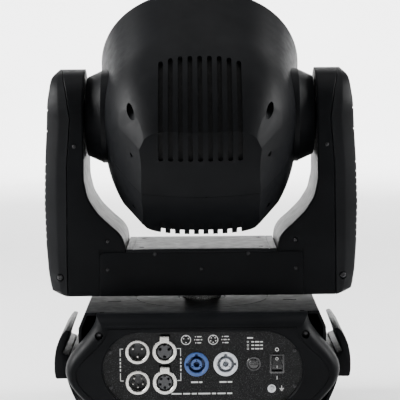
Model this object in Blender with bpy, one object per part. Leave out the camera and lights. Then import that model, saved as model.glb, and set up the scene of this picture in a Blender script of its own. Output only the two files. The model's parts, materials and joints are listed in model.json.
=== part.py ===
"""Moving head light: a flat base, a turning yoke and a tilting lamp head.

Run with: blender --background --python part.py
All sizes in this file are millimetres; `put` turns them into Blender's metres.
The origin is the middle of the base's underside, on the pan axis. +Z is up,
the connector panel faces -Y, and at rest the lamp leans forward over +Y.
"""
from math import asin, atan2, cos, pi, radians, sin, sqrt

import bmesh
import bpy
from mathutils import Matrix, Vector

MM = 0.001
GAP = 0.3                     # air between pieces that touch

# Base
DECK_Z = 114.0                # top of the base
WAIST_Z = DECK_Z / 2          # height where the base is widest
END_TOP_X = 106.0             # half width of the end shells at the deck
END_MID_X = 138.0             # half width of the end shells at the waist
BODY_TOP_X = 118.0            # half width of the middle housing at the deck
BODY_MID_X = 138.5            # half width of the middle housing at the waist
BODY_Y = 94.7                 # half depth of the middle housing
END_Y = 119.0                 # half depth of the whole base
WALL = 3.0                    # moulded wall
SHOULDER_Y = 18.0             # depth of the rounded shoulder of an end shell
SHOULDER_Z = 14.0             # drop of that shoulder
RIM_X = 8.0                   # how far the rounded rim pulls in at the sides
PANEL_X = 100.0               # half width of the panel recess
PANEL_R = 38.0                # end radius of the panel recess
PANEL_Z = 59.5                # height of the panel's middle
PANEL_FACE = END_Y - 3.6      # outer face of the panel plates
PANEL_T = 1.5
FOOT_H = 12.0
FOOT_R = 12.0
FOOT_X = 80.0
FOOT_Y = 98.0
GRIP_Y = 60.0                 # half length of a side handle
FINGER_X = 125.0              # the housing's flank, set back behind a handle
FINGER_LOW = 62.0             # ledge below that set-back
FINGER_HIGH = 90.0

# Connectors: centre height and distance from the middle, on the rear panel
DATA_X_IN = -64.9
DATA_X_OUT = -37.8
DATA_Z_TOP = 77.3
DATA_Z_LOW = 46.2
POWER_Z = 64.3
POWER_X_IN = -6.0
POWER_X_OUT = 23.1
FUSE_X = 51.1
SWITCH_X = 74.3
SCREEN_X = -29.0              # middle of the display window, on the front panel
SCREEN_W = 66.0
SCREEN_H = 36.0
MENU_X = (24.0, 40.0, 56.0, 72.0)
MENU_R = 4.4                  # hole for a menu button
SOCKET_R = 12.2               # outer radius of every round socket
PIN_RING = 5.2                # radius of the circle the data pins stand on
ROCKER_DEEP = 3.5             # the rocker's pin, behind the panel face
ROCKER_LEAN = radians(12)

# Yoke
TILT_Z = 307.0                # height of the tilt axis
YOKE_LOW = 124.0
BAR_TOP = 172.5
YOKE_Y = 55.0                 # half depth of the yoke
ARM_IN = 120.0                # inner face of an arm
ARM_TOP_R = 50.0              # rounded arm top, about the tilt axis
BAR_X = 77.5                  # half width of the crossbar between the arm feet
PLATE_X = 105.0               # half width of the crossbar's cover plates
PLATE_T = 1.2

# Head, in its own frame: X across, Y along the beam, Z square to both
REST_TILT = radians(36)       # the beam's rise above the level at rest
REAR_R = 130.0                # swing radius of the rear face
REAR_CROWN = 7.0              # how far the rear face falls away at CROWN_X
CROWN_X = 68.0
FRONT_Y = 92.5
GLASS_R = 75.6
BEZEL_BORE = 76.0
BEZEL_STEPS = ((84.3, 0.0), (88.0, 1.8), (91.0, 5.5), (FRONT_Y, 10.0))   # y and pull-in
SHELL_T = 3.0
HUB_R = 49.0
HUB_TIP_R = 41.0
HUB_OUT = 118.6
HUB_SHAFT_R = 14.0
HUB_BORE = 9.0
SHELL_FRONT = 84.0            # where the shells end and the bezel begins
SLOT_PITCH = 9.8
SLOT_W = 4.7
SLOT_COUNT = 9

# Drives
PAN_SHAFT_R = 19.0
PAN_PULLEY_R = 42.0
PAN_PINION_R = 9.0
PAN_MOTOR_X = 68.0
TILT_PULLEY_R = 30.0
TILT_PINION_R = 8.0
SHAFT_BORE = 14.0             # the hollow pan shaft's cable way
TILT_MOTOR_DROP = 153.0       # tilt motor below the tilt axis
BELT_T = 1.6
BELT_CLEAR = 0.4
LENS_RING = 43.0              # the outer lenses' distance from the beam axis
CARRIER_R = 68.0
SCREW_Z = 76.0                # zoom screw below the beam axis

BLACK = (0.022, 0.023, 0.026)
GREY = (0.06, 0.062, 0.068)
STEEL = (0.62, 0.62, 0.60)
NICKEL = (0.72, 0.71, 0.68)
BLUE = (0.05, 0.17, 0.55)
WHITE = (0.80, 0.80, 0.78)
ALLOY = (0.55, 0.56, 0.57)
RUBBER = (0.02, 0.02, 0.02)
GLASS = (0.75, 0.80, 0.82)
GREEN = (0.02, 0.16, 0.07)


# ---------------------------------------------------------------- outlines

def arc(cx, cy, r, start, end, steps):
    """Points on an arc, angles in degrees, both ends included."""
    turn = radians(end - start) / steps
    return [(cx + r * cos(radians(start) + i * turn), cy + r * sin(radians(start) + i * turn))
            for i in range(steps + 1)]


def circle(cx, cy, r, steps=24):
    return arc(cx, cy, r, 0, 360, steps)[:-1]


def box_outline(x0, y0, x1, y1):
    return [(x0, y0), (x1, y0), (x1, y1), (x0, y1)]


def rounded(x0, y0, x1, y1, r, steps=3):
    """A rectangle with round corners."""
    return (arc(x1 - r, y0 + r, r, -90, 0, steps) + arc(x1 - r, y1 - r, r, 0, 90, steps)
            + arc(x0 + r, y1 - r, r, 90, 180, steps) + arc(x0 + r, y0 + r, r, 180, 270, steps))


def stadium(cx, cy, half, r, steps=10):
    return (arc(cx + half - r, cy, r, -90, 90, steps)
            + arc(cx - half + r, cy, r, 90, 270, steps))


def along_curve(points, value):
    """Straight-line reading of (key, result) points in rising key order."""
    for (k0, v0), (k1, v1) in zip(points, points[1:]):
        if value <= k1:
            return v0 + (v1 - v0) * max(0.0, value - k0) / (k1 - k0)
    return points[-1][1]


# ------------------------------------------------------------------ solids

def loft(rings):
    """A closed solid through rings with the same number of 3-D points."""
    bm = bmesh.new()
    rows = [[bm.verts.new(p) for p in ring] for ring in rings]
    for low, high in zip(rows, rows[1:]):
        for i in range(len(low)):
            j = (i + 1) % len(low)
            bm.faces.new((low[i], low[j], high[j], high[i]))
    bm.faces.new(list(reversed(rows[0])))
    bm.faces.new(rows[-1])
    bmesh.ops.recalc_face_normals(bm, faces=bm.faces)
    return bm


def place(axis, u, v, w):
    """A point from outline values u, v and height w along the named axis."""
    return {"X": (w, u, v), "Y": (u, w, v), "Z": (u, v, w)}[axis]


def prism(outline, low, high, axis="Z"):
    return loft([[place(axis, u, v, w) for u, v in outline] for w in (low, high)])


def block(x0, y0, z0, x1, y1, z1):
    return prism(box_outline(x0, y0, x1, y1), z0, z1)


def turned(profile, centre=(0, 0, 0), axis="Z", steps=24):
    """A solid of revolution: profile is (radius, height) from one end to the other.

    A profile that starts and ends off the axis closes into a ring.
    """
    bm = bmesh.new()
    rows = []
    for r, w in profile:
        if r == 0:
            rows.append([bm.verts.new(place(axis, 0, 0, w))])
            continue
        ring = circle(0, 0, r, steps)
        rows.append([bm.verts.new(place(axis, u, v, w)) for u, v in ring])
    closed = profile[0][0] > 0 and profile[-1][0] > 0
    pairs = list(zip(rows, rows[1:])) + ([(rows[-1], rows[0])] if closed else [])
    for low, high in pairs:
        for i in range(steps):
            j = (i + 1) % steps
            corners = [low[i % len(low)], low[j % len(low)], high[j % len(high)], high[i % len(high)]]
            bm.faces.new(list(dict.fromkeys(corners)))
    bmesh.ops.recalc_face_normals(bm, faces=bm.faces)
    bmesh.ops.translate(bm, verts=bm.verts, vec=Vector(centre))
    return bm


def as_object(bm, name):
    mesh = bpy.data.meshes.new(name)
    bm.to_mesh(mesh)
    bm.free()
    item = bpy.data.objects.new(name, mesh)
    bpy.context.scene.collection.objects.link(item)
    return item


def combine(base, other, how):
    """Join, cut or intersect two bmesh solids, and give one bmesh back."""
    target = as_object(base, "work")
    tool = as_object(other, "tool")
    step = target.modifiers.new("step", "BOOLEAN")
    step.operation = how
    step.solver = "EXACT"
    step.object = tool
    bpy.context.view_layer.update()
    ready = target.evaluated_get(bpy.context.evaluated_depsgraph_get())
    result = bmesh.new()
    result.from_mesh(ready.to_mesh())
    ready.to_mesh_clear()
    for item in (target, tool):
        mesh = item.data
        bpy.data.objects.remove(item)
        bpy.data.meshes.remove(mesh)
    bmesh.ops.remove_doubles(result, verts=result.verts, dist=0.0001)
    return result


def cut(base, *others):
    for other in others:
        base = combine(base, other, "DIFFERENCE")
    return base


def join(base, *others):
    for other in others:
        base = combine(base, other, "UNION")
    return base


# ----------------------------------------------------------------- objects

def clear_scene():
    for item in list(bpy.data.objects):
        bpy.data.objects.remove(item)


def empty(name, at=(0, 0, 0), turn=(0, 0, 0), parent=None):
    item = bpy.data.objects.new(name, None)
    bpy.context.scene.collection.objects.link(item)
    item.parent = parent
    item.location = Vector(at) * MM
    item.rotation_euler = turn
    return item


def material(name, colour, roughness, metallic):
    made = bpy.data.materials.new(name)
    made.use_nodes = True
    shader = made.node_tree.nodes["Principled BSDF"]
    shader.inputs["Base Color"].default_value = (*colour, 1)
    shader.inputs["Roughness"].default_value = roughness
    shader.inputs["Metallic"].default_value = metallic
    return made


def put(name, bm, parent, colour=BLACK, roughness=0.5, metallic=0.0, pivot=(0, 0, 0)):
    """Turn a solid into a named object whose origin is `pivot` in its parent's frame."""
    bmesh.ops.translate(bm, verts=bm.verts, vec=-Vector(pivot))
    bmesh.ops.scale(bm, verts=bm.verts, vec=(MM, MM, MM))
    item = as_object(bm, name)
    item.parent = parent
    item.location = Vector(pivot) * MM
    item.data.materials.append(material(name, colour, roughness, metallic))
    item.data.shade_smooth()
    item.data.set_sharp_from_angle(angle=radians(32))
    return item


# -------------------------------------------------------------------- base

def toward_waist(z):
    """0 at the deck and at the underside, 1 at the waist."""
    return 1 - abs(z - WAIST_Z) / WAIST_Z


def end_width(z):
    """Half width of an end shell: an even S from deck to waist."""
    return END_TOP_X + (END_MID_X - END_TOP_X) * (1 - cos(pi * toward_waist(z))) / 2


def body_width(z):
    """Half width of the middle housing: straight flanks that round off at the waist."""
    t = toward_waist(z)
    return BODY_TOP_X + (BODY_MID_X - BODY_TOP_X) * (t + t * t - t ** 3)


def barrel(width, side_inset=0.0, low=0.0, high=DECK_Z, steps=12):
    """The base's outline across the pan axis, pulled in at the sides and ends."""
    levels = [low + (high - low) * i / steps for i in range(steps + 1)]
    spread = [(width(DECK_Z * i / steps) - side_inset, z) for i, z in enumerate(levels)]
    return spread + [(-x, z) for x, z in reversed(spread)]


def flank_outline(inset=0.0, low=0.0, high=DECK_Z):
    """The housing's outline: the barrel shape with a set-back behind each handle."""
    levels = [low + (FINGER_LOW - inset - low) * i / 6 for i in range(7)]
    side = [(body_width(z) - inset, z) for z in levels]
    side += [(FINGER_X - inset, FINGER_LOW - inset + 1.5), (FINGER_X - inset, FINGER_HIGH)]
    side += [(body_width(z) - inset, z) for z in (98.0, 106.0, high)]
    return side + [(-x, z) for x, z in reversed(side)]


def base_housing():
    shell = prism(flank_outline(), -BODY_Y, BODY_Y, "Y")
    inside = prism(flank_outline(WALL, WALL, DECK_Z - WALL), -END_Y, END_Y, "Y")
    floor = block(-96, -BODY_Y + 10, -5, 96, BODY_Y - 10, 2 * WALL)
    shaft = turned([(0, 90), (PAN_SHAFT_R + 2, 90), (PAN_SHAFT_R + 2, 130), (0, 130)], steps=32)
    return cut(shell, inside, floor, shaft)


def base_tray():
    """The sheet chassis that closes the housing from below."""
    return prism(rounded(-95.6, -84.3, 95.6, 84.3, 5), 0, 2)


def end_ring(y, drop, pull, lift=0.0):
    return [(x, y, z) for x, z in barrel(end_width, pull, lift, DECK_Z - drop)]


def end_shell():
    """The rear end of the base, with its rounded shoulder and panel recess."""
    near = BODY_Y + GAP
    rings = [end_ring(-near, 0, 0)]
    for share in (0.0, 0.35, 0.65, 0.87, 1.0):
        turn = share * pi / 2
        rings.append(end_ring(-(END_Y - SHOULDER_Y + SHOULDER_Y * sin(turn)),
                              SHOULDER_Z * (1 - cos(turn)), RIM_X * (1 - cos(turn)),
                              RIM_X * (1 - cos(turn)) / 2))
    shell = loft(rings)
    hollow = loft([end_ring(-near + 5, WALL, WALL, WALL),
                   end_ring(-(END_Y - SHOULDER_Y), WALL, WALL, WALL),
                   end_ring(-PANEL_FACE, 3 * WALL, RIM_X - 1, RIM_X - 1)])
    window = prism(stadium(0, PANEL_Z, PANEL_X, PANEL_R), -END_Y - 5, -END_Y + 10, "Y")
    screws = [turned([(0, -130), (4, -130), (4, -END_Y + 3), (0, -END_Y + 3)],
                     (sx, 0, 94), "Y", 16) for sx in (-103, 103)]
    return cut(shell, hollow, window, *screws)


def bore(x, z, r, steps=16):
    return turned([(0, -PANEL_FACE - 5), (r, -PANEL_FACE - 5), (r, -PANEL_FACE + 5),
                   (0, -PANEL_FACE + 5)], (x, 0, z), "Y", steps)


def panel_plate(*holes):
    plate = prism(stadium(0, PANEL_Z, PANEL_X + 4, PANEL_R + 4, 12),
                  -PANEL_FACE + GAP, -PANEL_FACE + GAP + PANEL_T, "Y")
    return cut(plate, *holes)


def window(x0, z0, x1, z1):
    return prism(box_outline(x0, z0, x1, z1), -PANEL_FACE - 5, -PANEL_FACE + 5, "Y")


def rear_panel():
    sockets = [bore(x, z, SOCKET_R - 0.7) for x in (DATA_X_IN, DATA_X_OUT)
               for z in (DATA_Z_TOP, DATA_Z_LOW)]
    latches = [window(DATA_X_OUT - 5.6, z + 9, DATA_X_OUT + 5.6, z + 17.6)
               for z in (DATA_Z_TOP, DATA_Z_LOW)]
    power = [bore(x, POWER_Z, SOCKET_R - 0.7) for x in (POWER_X_IN, POWER_X_OUT)]
    fuse = bore(FUSE_X, POWER_Z, 6.8, 20)
    switch = window(SWITCH_X - 6.8, POWER_Z - 9.2, SWITCH_X + 6.8, POWER_Z + 9.2)
    return panel_plate(*sockets, *latches, *power, fuse, switch)


def front_panel():
    """The menu plate: a shallow window for the display and four button holes."""
    buttons = [bore(x, PANEL_Z, MENU_R, 16) for x in MENU_X]
    screen = block(SCREEN_X - SCREEN_W / 2, -PANEL_FACE - 1, PANEL_Z - SCREEN_H / 2,
                   SCREEN_X + SCREEN_W / 2, -PANEL_FACE + GAP + 0.7, PANEL_Z + SCREEN_H / 2)
    return panel_plate(screen, *buttons)


def menu_button():
    face = -PANEL_FACE
    return turned([(0, face - 1.8), (MENU_R - 0.9, face - 1.8), (MENU_R - 0.4, face - 1.2),
                   (MENU_R - 0.4, face + 5), (0, face + 5)], axis="Y", steps=16)


def socket_body(length):
    """A round socket shell: a collar outside the panel, a barrel behind it."""
    face = -PANEL_FACE
    back = SOCKET_R - 1.2
    return turned([(0, face - 1.6), (SOCKET_R - 0.6, face - 1.6), (SOCKET_R, face - 1.0),
                   (SOCKET_R, face), (back, face), (back, face + length), (0, face + length)],
                  axis="Y", steps=20)


def cavity(r, depth, inner=0.0, steps=20):
    front = -PANEL_FACE - 4
    end = -PANEL_FACE + depth
    if inner:
        return turned([(inner, front), (r, front), (r, end), (inner, end)], axis="Y", steps=steps)
    return turned([(0, front), (r, front), (r, end), (0, end)], axis="Y", steps=steps)


def pin_places(count):
    """Pins stand on a circle, evenly, with a free place at the top for the key."""
    spread = 240 if count == 3 else 270
    first = -90 - spread / 2
    for i in range(count):
        angle = radians(first + spread * i / (count - 1))
        yield PIN_RING * cos(angle), PIN_RING * sin(angle)


def pin(x, z, r, start, end, steps=8):
    return turned([(0, start), (r, start), (r, end), (0, end)], (x, 0, z), "Y", steps)


def data_inlet(count):
    shell = cut(socket_body(20), cavity(9.2, 14))
    pins = [pin(x, z, 1.2 if count == 3 else 0.9, -PANEL_FACE + 2, -PANEL_FACE + 16)
            for x, z in pin_places(count)]
    return join(shell, *pins)


def data_outlet(count):
    shell = cut(socket_body(24), cavity(8.8, 10, 7.4))
    latch_seat = block(-5.2, -PANEL_FACE - 4, 8.6, 5.2, -PANEL_FACE + 9, 14)
    holes = [pin(x, z, 1.3 if count == 3 else 1.0, -PANEL_FACE - 4, -PANEL_FACE + 8)
             for x, z in pin_places(count)]
    return cut(shell, latch_seat, *holes)


def outlet_latch():
    """The push tab over a female socket; it travels inward to free the plug."""
    tab = block(-4.6, -PANEL_FACE - 2.6, 9.3, 4.6, -PANEL_FACE + 5, 16)
    return tab


def power_socket(notch_side):
    shell = cut(socket_body(26), cavity(8.6, 12, 5.5), cavity(3.0, 10, steps=12))
    keys = [block(-1.6, -PANEL_FACE - 4, 8, 1.6, -PANEL_FACE + 8, 10.6),
            block(notch_side * 8 - 1.3, -PANEL_FACE - 4, -1.6, notch_side * 8 + 2.6 * notch_side,
                  -PANEL_FACE + 8, 1.6)]
    return cut(shell, *keys)


def at(bm, x=0.0, y=0.0, z=0.0):
    bmesh.ops.translate(bm, verts=bm.verts, vec=Vector((x, y, z)))
    return bm


def fuse_holder():
    face = -PANEL_FACE
    return turned([(5.2, face - 1.5), (7.35, face - 1.5), (7.35, face), (6.4, face),
                   (6.4, face + 22), (5.2, face + 22)], axis="Y", steps=20)


def fuse_cap():
    face = -PANEL_FACE
    body = turned([(0, face - 2.4), (4.3, face - 2.4), (4.9, face - 1.8), (4.9, face + 12),
                   (0, face + 12)], axis="Y", steps=20)
    slots = [block(-3.4, face - 4, -0.6, 3.4, face - 1.4, 0.6),
             block(-0.6, face - 4, -3.4, 0.6, face - 1.4, 3.4)]
    return cut(body, *slots)


def switch_bezel():
    face = -PANEL_FACE
    flange = block(-7.3, face - 1.5, -9.9, 7.3, face, 9.9)
    frame = block(-6.4, face - 1, -8.8, 6.4, face + 16, 8.8)
    well = block(-5.3, face - 3, -7.7, 5.3, face + 13, 7.7)
    return cut(join(flange, frame), well)


def switch_rocker():
    """A shallow V paddle on its pin; at rest its upper half is pressed in."""
    side = [(-6.4, -3.9), (0, -3.4), (6.4, -3.9), (5.6, 2.5), (0, 4.5), (-5.6, 2.5)]
    paddle = loft([[(x, y, z) for z, y in side] for x in (-5.0, 5.0)])
    bmesh.ops.rotate(paddle, verts=paddle.verts, matrix=Matrix.Rotation(-ROCKER_LEAN, 3, "X"))
    return at(paddle, 0, -PANEL_FACE + ROCKER_DEEP, 0)


def handle(side):
    """A grip rail with a lip, standing off the flank so fingers can hook behind it."""
    outer = [(152.5, 38.5), (153.4, 47), (153.3, 56), (152.4, 64), (150.8, 72), (147.8, 80),
             (143.0, 87), (139.8, 90)]
    pocket = [(135.6, 89.6), (139.0, 81), (142.6, 72), (145.0, 64)]
    flank = [(body_width(z) + GAP, z) for z in (63.0, 56.0, 47.0, 38.5)]
    outline = [(side * x, z) for x, z in outer + pocket + flank]
    return prism(outline, -GRIP_Y, GRIP_Y, "Y")


def foot():
    return turned([(0, 0), (FOOT_R - 2, 0), (FOOT_R - 0.5, 2), (FOOT_R - 2.5, FOOT_H - GAP),
                   (0, FOOT_H - GAP)], (0, 0, -FOOT_H), steps=20)


def belt_loop(x0, y0, r0, x1, y1, r1, low, high, axis="Z", grow=0.0):
    """The solid inside a belt that runs round two wheels, `grow` larger than the wheels."""
    a = Vector((x0, y0))
    b = Vector((x1, y1))
    lean = asin((r0 - r1) / (b - a).length)
    heading = atan2(y1 - y0, x1 - x0)
    outline = []
    for centre, r, start, end in ((a, r0, pi / 2 - lean, 3 * pi / 2 + lean),
                                  (b, r1, -pi / 2 + lean, pi / 2 - lean)):
        steps = 22 if r > 20 else 8
        for i in range(steps + 1):
            angle = heading + start + (end - start) * i / steps
            outline.append((centre.x + (r + grow) * cos(angle), centre.y + (r + grow) * sin(angle)))
    return prism(outline, low, high, axis)


def belt(*route, axis="Z"):
    inner = belt_loop(*route[:6], route[6] - 1, route[7] + 1, axis=axis, grow=BELT_CLEAR)
    return cut(belt_loop(*route, axis=axis, grow=BELT_CLEAR + BELT_T), inner)


def power_supply():
    return block(-100, -70, 6, -50, 70, 46)


def pan_motor():
    half = 21.0
    return prism(rounded(PAN_MOTOR_X - half, -half, PAN_MOTOR_X + half, half, 4), 40, 80)


def pinion(r, low, high, shaft_low, axis="Z", centre=(0, 0, 0)):
    return turned([(0, shaft_low), (2.5, shaft_low), (2.5, low), (r, low), (r, high), (0, high)],
                  centre, axis, 20)


def pulley(r, bore_r, low, high, axis="Z", centre=(0, 0, 0)):
    return turned([(bore_r, low), (r, low), (r, high), (bore_r, high)], centre, axis, 28)


def make_base(root):
    face = {"roughness": 0.5}
    put("base_housing", base_housing(), root, BLACK, **face)
    put("base_tray", base_tray(), root, GREY, 0.45, 0.6)
    put("rear_shell", end_shell(), root, BLACK, **face)
    put("rear_panel", rear_panel(), root, GREY, 0.6, 0.3)
    inlet_spots = ((3, DATA_Z_TOP), (5, DATA_Z_LOW))
    for count, z in inlet_spots:
        put(f"data_inlet_{count}pin", at(data_inlet(count), DATA_X_IN, 0, z), root,
            NICKEL, 0.28, 0.9)
        put(f"data_outlet_{count}pin", at(data_outlet(count), DATA_X_OUT, 0, z), root,
            NICKEL, 0.28, 0.9)
        put(f"outlet_latch_{count}pin", at(outlet_latch(), DATA_X_OUT, 0, z), root,
            NICKEL, 0.35, 0.9, (DATA_X_OUT, -PANEL_FACE, z + 12))
    put("power_inlet", at(power_socket(-1), POWER_X_IN, 0, POWER_Z), root, BLUE, 0.4)
    put("power_outlet", at(power_socket(1), POWER_X_OUT, 0, POWER_Z), root, WHITE, 0.4)
    put("fuse_holder", at(fuse_holder(), FUSE_X, 0, POWER_Z), root, BLACK, 0.4)
    put("fuse_cap", at(fuse_cap(), FUSE_X, 0, POWER_Z), root, BLACK, 0.4, 0.0,
        (FUSE_X, -PANEL_FACE, POWER_Z))
    put("switch_bezel", at(switch_bezel(), SWITCH_X, 0, POWER_Z), root, BLACK, 0.35)
    put("switch_rocker", at(switch_rocker(), SWITCH_X, 0, POWER_Z), root, BLACK, 0.3, 0.0,
        (SWITCH_X, -PANEL_FACE + ROCKER_DEEP, POWER_Z))
    for name, side in (("left", -1), ("right", 1)):
        put(f"handle_{name}", handle(side), root, BLACK, **face)
    for i, (sx, sy) in enumerate(((-1, -1), (1, -1), (1, 1), (-1, 1)), 1):
        put(f"foot_{i}", at(foot(), sx * FOOT_X, sy * FOOT_Y), root, RUBBER, 0.8)

    front = empty("front_end", turn=(0, 0, pi), parent=root)
    put("front_shell", end_shell(), front, BLACK, **face)
    put("front_panel", front_panel(), front, GREY, 0.3)
    for i, x in enumerate(MENU_X, 1):
        put(f"menu_button_{i}", at(menu_button(), x, 0, PANEL_Z), front, GREY, 0.5, 0.0,
            (x, -PANEL_FACE, PANEL_Z))

    put("power_supply", power_supply(), root, ALLOY, 0.4, 0.8)
    put("pan_motor", pan_motor(), root, STEEL, 0.4, 0.8)
    put("pan_pinion", pinion(PAN_PINION_R, 84.5, 93.5, 80.3, centre=(PAN_MOTOR_X, 0, 0)), root,
        STEEL, 0.35, 0.9, (PAN_MOTOR_X, 0, 89))
    put("pan_belt", belt(0, 0, PAN_PULLEY_R, PAN_MOTOR_X, 0, PAN_PINION_R, 85, 93), root,
        RUBBER, 0.8)


# -------------------------------------------------------------------- yoke

# Arm section against height, measured from the tilt axis
ARM_INNER = [(-183.0, 78.3), (-133.0, 78.3), (-123.6, 80.0), (-115.6, 85.6), (-109.4, 93.5),
             (-96.0, 107.0), (-81.5, 116.0), (-64.0, 119.9), (-57.0, ARM_IN), (50.0, ARM_IN)]
ARM_EDGE = [(-183.0, 138.0), (-140.0, 138.0), (-47.0, 137.0), (-22.0, 135.0), (0.0, 133.5),
            (28.0, 138.0), (48.0, 143.0), (50.0, 143.0)]
COVER_SIDE = [(-183.0, 144.5), (-179.0, 155.5), (-158.0, 158.8), (-130.0, 160.7),
              (-90.0, 162.0), (-47.0, 160.7), (-12.0, 158.8), (16.5, 157.8), (38.0, 155.0),
              (43.0, 153.2), (48.0, 148.0), (50.0, 145.5)]
ARM_LOW = YOKE_LOW - TILT_Z
ARM_FULL = -60.0              # below this height an arm has its full depth


def arm_depth(z, trim=0.0):
    """Half depth of an arm: straight, then drawn in to a round top."""
    if z <= ARM_FULL:
        return YOKE_Y - trim
    if z <= 0:
        return ARM_TOP_R + (YOKE_Y - ARM_TOP_R) * z / ARM_FULL - trim
    return sqrt(max(0.0, (ARM_TOP_R - trim) ** 2 - z * z))


def arm_levels(low, top):
    """Heights for the arm's sections, closer together round the top."""
    straight = [z for z in (-179.0, -158.0, -133.0, -123.6, -115.6, -109.4, -96.0, -81.5, -64.0,
                            -47.0, -22.0, -12.0, 0.0) if z > low + 1]
    crown = [top * sin(radians(a)) for a in (14, 28, 42, 54, 65, 76, 86)]
    return [low] + straight + crown


def stack(side, levels, section):
    """A solid through level outlines: section(z) gives its (x, y) corners."""
    return loft([[(side * x, y, TILT_Z + z) for x, y in section(z)] for z in levels])


def arm_frame(side):
    def solid(z):
        return box_outline(along_curve(ARM_INNER, z), -arm_depth(z),
                           along_curve(ARM_EDGE, z), arm_depth(z))

    def hollow(z):
        return box_outline(along_curve(ARM_INNER, z) + WALL, -arm_depth(z, WALL),
                           along_curve(ARM_EDGE, z) + 9, arm_depth(z, WALL))

    body = stack(side, arm_levels(ARM_LOW, ARM_TOP_R), solid)
    room = stack(side, arm_levels(ARM_LOW + WALL, ARM_TOP_R - WALL), hollow)
    shaft = turned([(0, 100), (HUB_SHAFT_R + GAP, 100), (HUB_SHAFT_R + GAP, 130), (0, 130)],
                   (0, 0, TILT_Z), "X", 24)
    if side < 0:
        bmesh.ops.rotate(shaft, verts=shaft.verts, matrix=Matrix.Rotation(pi, 3, "Z"))
    rebates = []
    for face in (-1, 1):
        inner = YOKE_Y - PLATE_T - GAP
        x0, x1 = sorted((side * 60, side * (PLATE_X + GAP)))
        y0, y1 = sorted((face * inner, face * (YOKE_Y + 5)))
        rebates.append(block(x0, y0, YOKE_LOW - 2, x1, y1, BAR_TOP + GAP))
    return cut(body, room, shaft, *rebates)


def arm_cover(side):
    def solid(z):
        near = along_curve(ARM_EDGE, z) + GAP
        far = along_curve(COVER_SIDE, z)
        ridge = near + 0.42 * (far - near)
        d = arm_depth(z)
        half = [(near, d), (ridge, 0.955 * d), (far, 0.77 * d)]
        return [(x, -y) for x, y in half] + list(reversed(half))

    def hollow(z):
        return box_outline(along_curve(ARM_EDGE, z) - 2, -0.70 * arm_depth(z),
                           along_curve(COVER_SIDE, z) - 3.5, 0.70 * arm_depth(z))

    body = stack(side, arm_levels(ARM_LOW, ARM_TOP_R), solid)
    room = stack(side, arm_levels(ARM_LOW + 5, ARM_TOP_R - 7), hollow)
    return cut(body, room)


def crossbar():
    inner_y = YOKE_Y - PLATE_T - GAP
    tray = block(-BAR_X, -inner_y, YOKE_LOW, BAR_X, inner_y, BAR_TOP - 3 - GAP)
    room = block(-BAR_X + WALL, -inner_y + WALL, YOKE_LOW + 4, BAR_X - WALL, inner_y - WALL, 200)
    cables = turned([(0, 100), (SHAFT_BORE, 100), (SHAFT_BORE, 140), (0, 140)])
    return cut(tray, room, cables)


def crossbar_cover():
    edge = [(-YOKE_Y, BAR_TOP - 3), (YOKE_Y, BAR_TOP - 3), (YOKE_Y, BAR_TOP - 1.2),
            (YOKE_Y - 1.5, BAR_TOP), (-YOKE_Y + 1.5, BAR_TOP), (-YOKE_Y, BAR_TOP - 1.2)]
    return prism(edge, -BAR_X, BAR_X, "X")


def crossbar_plate(face):
    corner = 6.0
    outline = ([(-PLATE_X, YOKE_LOW), (PLATE_X, YOKE_LOW)]
               + arc(PLATE_X - corner, BAR_TOP - 3 - GAP - corner, corner, 0, 90, 4)
               + arc(-PLATE_X + corner, BAR_TOP - 3 - GAP - corner, corner, 90, 180, 4))
    y0, y1 = sorted((face * YOKE_Y, face * (YOKE_Y - PLATE_T)))
    return prism(outline, y0, y1, "Y")


def pan_shaft():
    top = YOKE_LOW - GAP
    return turned([(SHAFT_BORE, 78), (PAN_SHAFT_R, 78), (PAN_SHAFT_R, top), (SHAFT_BORE, top)],
                  steps=32)


def tilt_motor():
    half = 21.0
    z = TILT_Z - TILT_MOTOR_DROP
    return prism(rounded(-half, z - half, half, z + half, 4), 88, 123, "X")


def make_yoke(yoke):
    for name, side in (("left", -1), ("right", 1)):
        put(f"arm_frame_{name}", arm_frame(side), yoke, BLACK, 0.5)
        put(f"arm_cover_{name}", arm_cover(side), yoke, GREY, 0.45)
    put("crossbar", crossbar(), yoke, BLACK, 0.5)
    put("crossbar_cover", crossbar_cover(), yoke, GREY, 0.45)
    put("crossbar_rear_plate", crossbar_plate(-1), yoke, BLACK, 0.5)
    put("crossbar_front_plate", crossbar_plate(1), yoke, BLACK, 0.5)
    put("pan_shaft", pan_shaft(), yoke, STEEL, 0.2, 1.0)
    put("pan_pulley", pulley(PAN_PULLEY_R, PAN_SHAFT_R + GAP, 84, 94), yoke, ALLOY, 0.4, 0.9)
    put("tilt_motor", tilt_motor(), yoke, STEEL, 0.4, 0.8)
    low = TILT_Z - TILT_MOTOR_DROP
    put("tilt_belt", belt(0, TILT_Z, TILT_PULLEY_R, 0, low, TILT_PINION_R, 126, 132, axis="X"),
        yoke, RUBBER, 0.8)
    put("tilt_pinion", pinion(TILT_PINION_R, 125.5, 132.5, 123.3, "X", (0, 0, low)), yoke,
        STEEL, 0.35, 0.9, (129, 0, low))


# -------------------------------------------------------------------- head

SECTION_STEPS = 32            # corners round one head section
FRONT_POWER = 2.12            # how square the section is: 2 is an ellipse
REAR_POWER = 4.0


def head_half(y, shrink, full, centre, rear, front):
    """Half width or height of the head at y: a full value that falls off both ways.

    rear and front are (share lost, distance where it is lost, power).
    """
    share, reach, power = rear if y < centre else front
    return full * (1 - share * (abs(y - centre) / reach) ** power) - shrink


def head_width(y, shrink=0.0):
    return head_half(y, shrink, 103.0, 0.0, (0.165, 80.0, 2.14), (-0.04, 84.0, 1.2))


def head_height(y, shrink=0.0):
    return head_half(y, shrink, 97.0, 10.0, (0.155, 90.0, 2.3), (-0.031, 74.0, 1.5))


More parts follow.
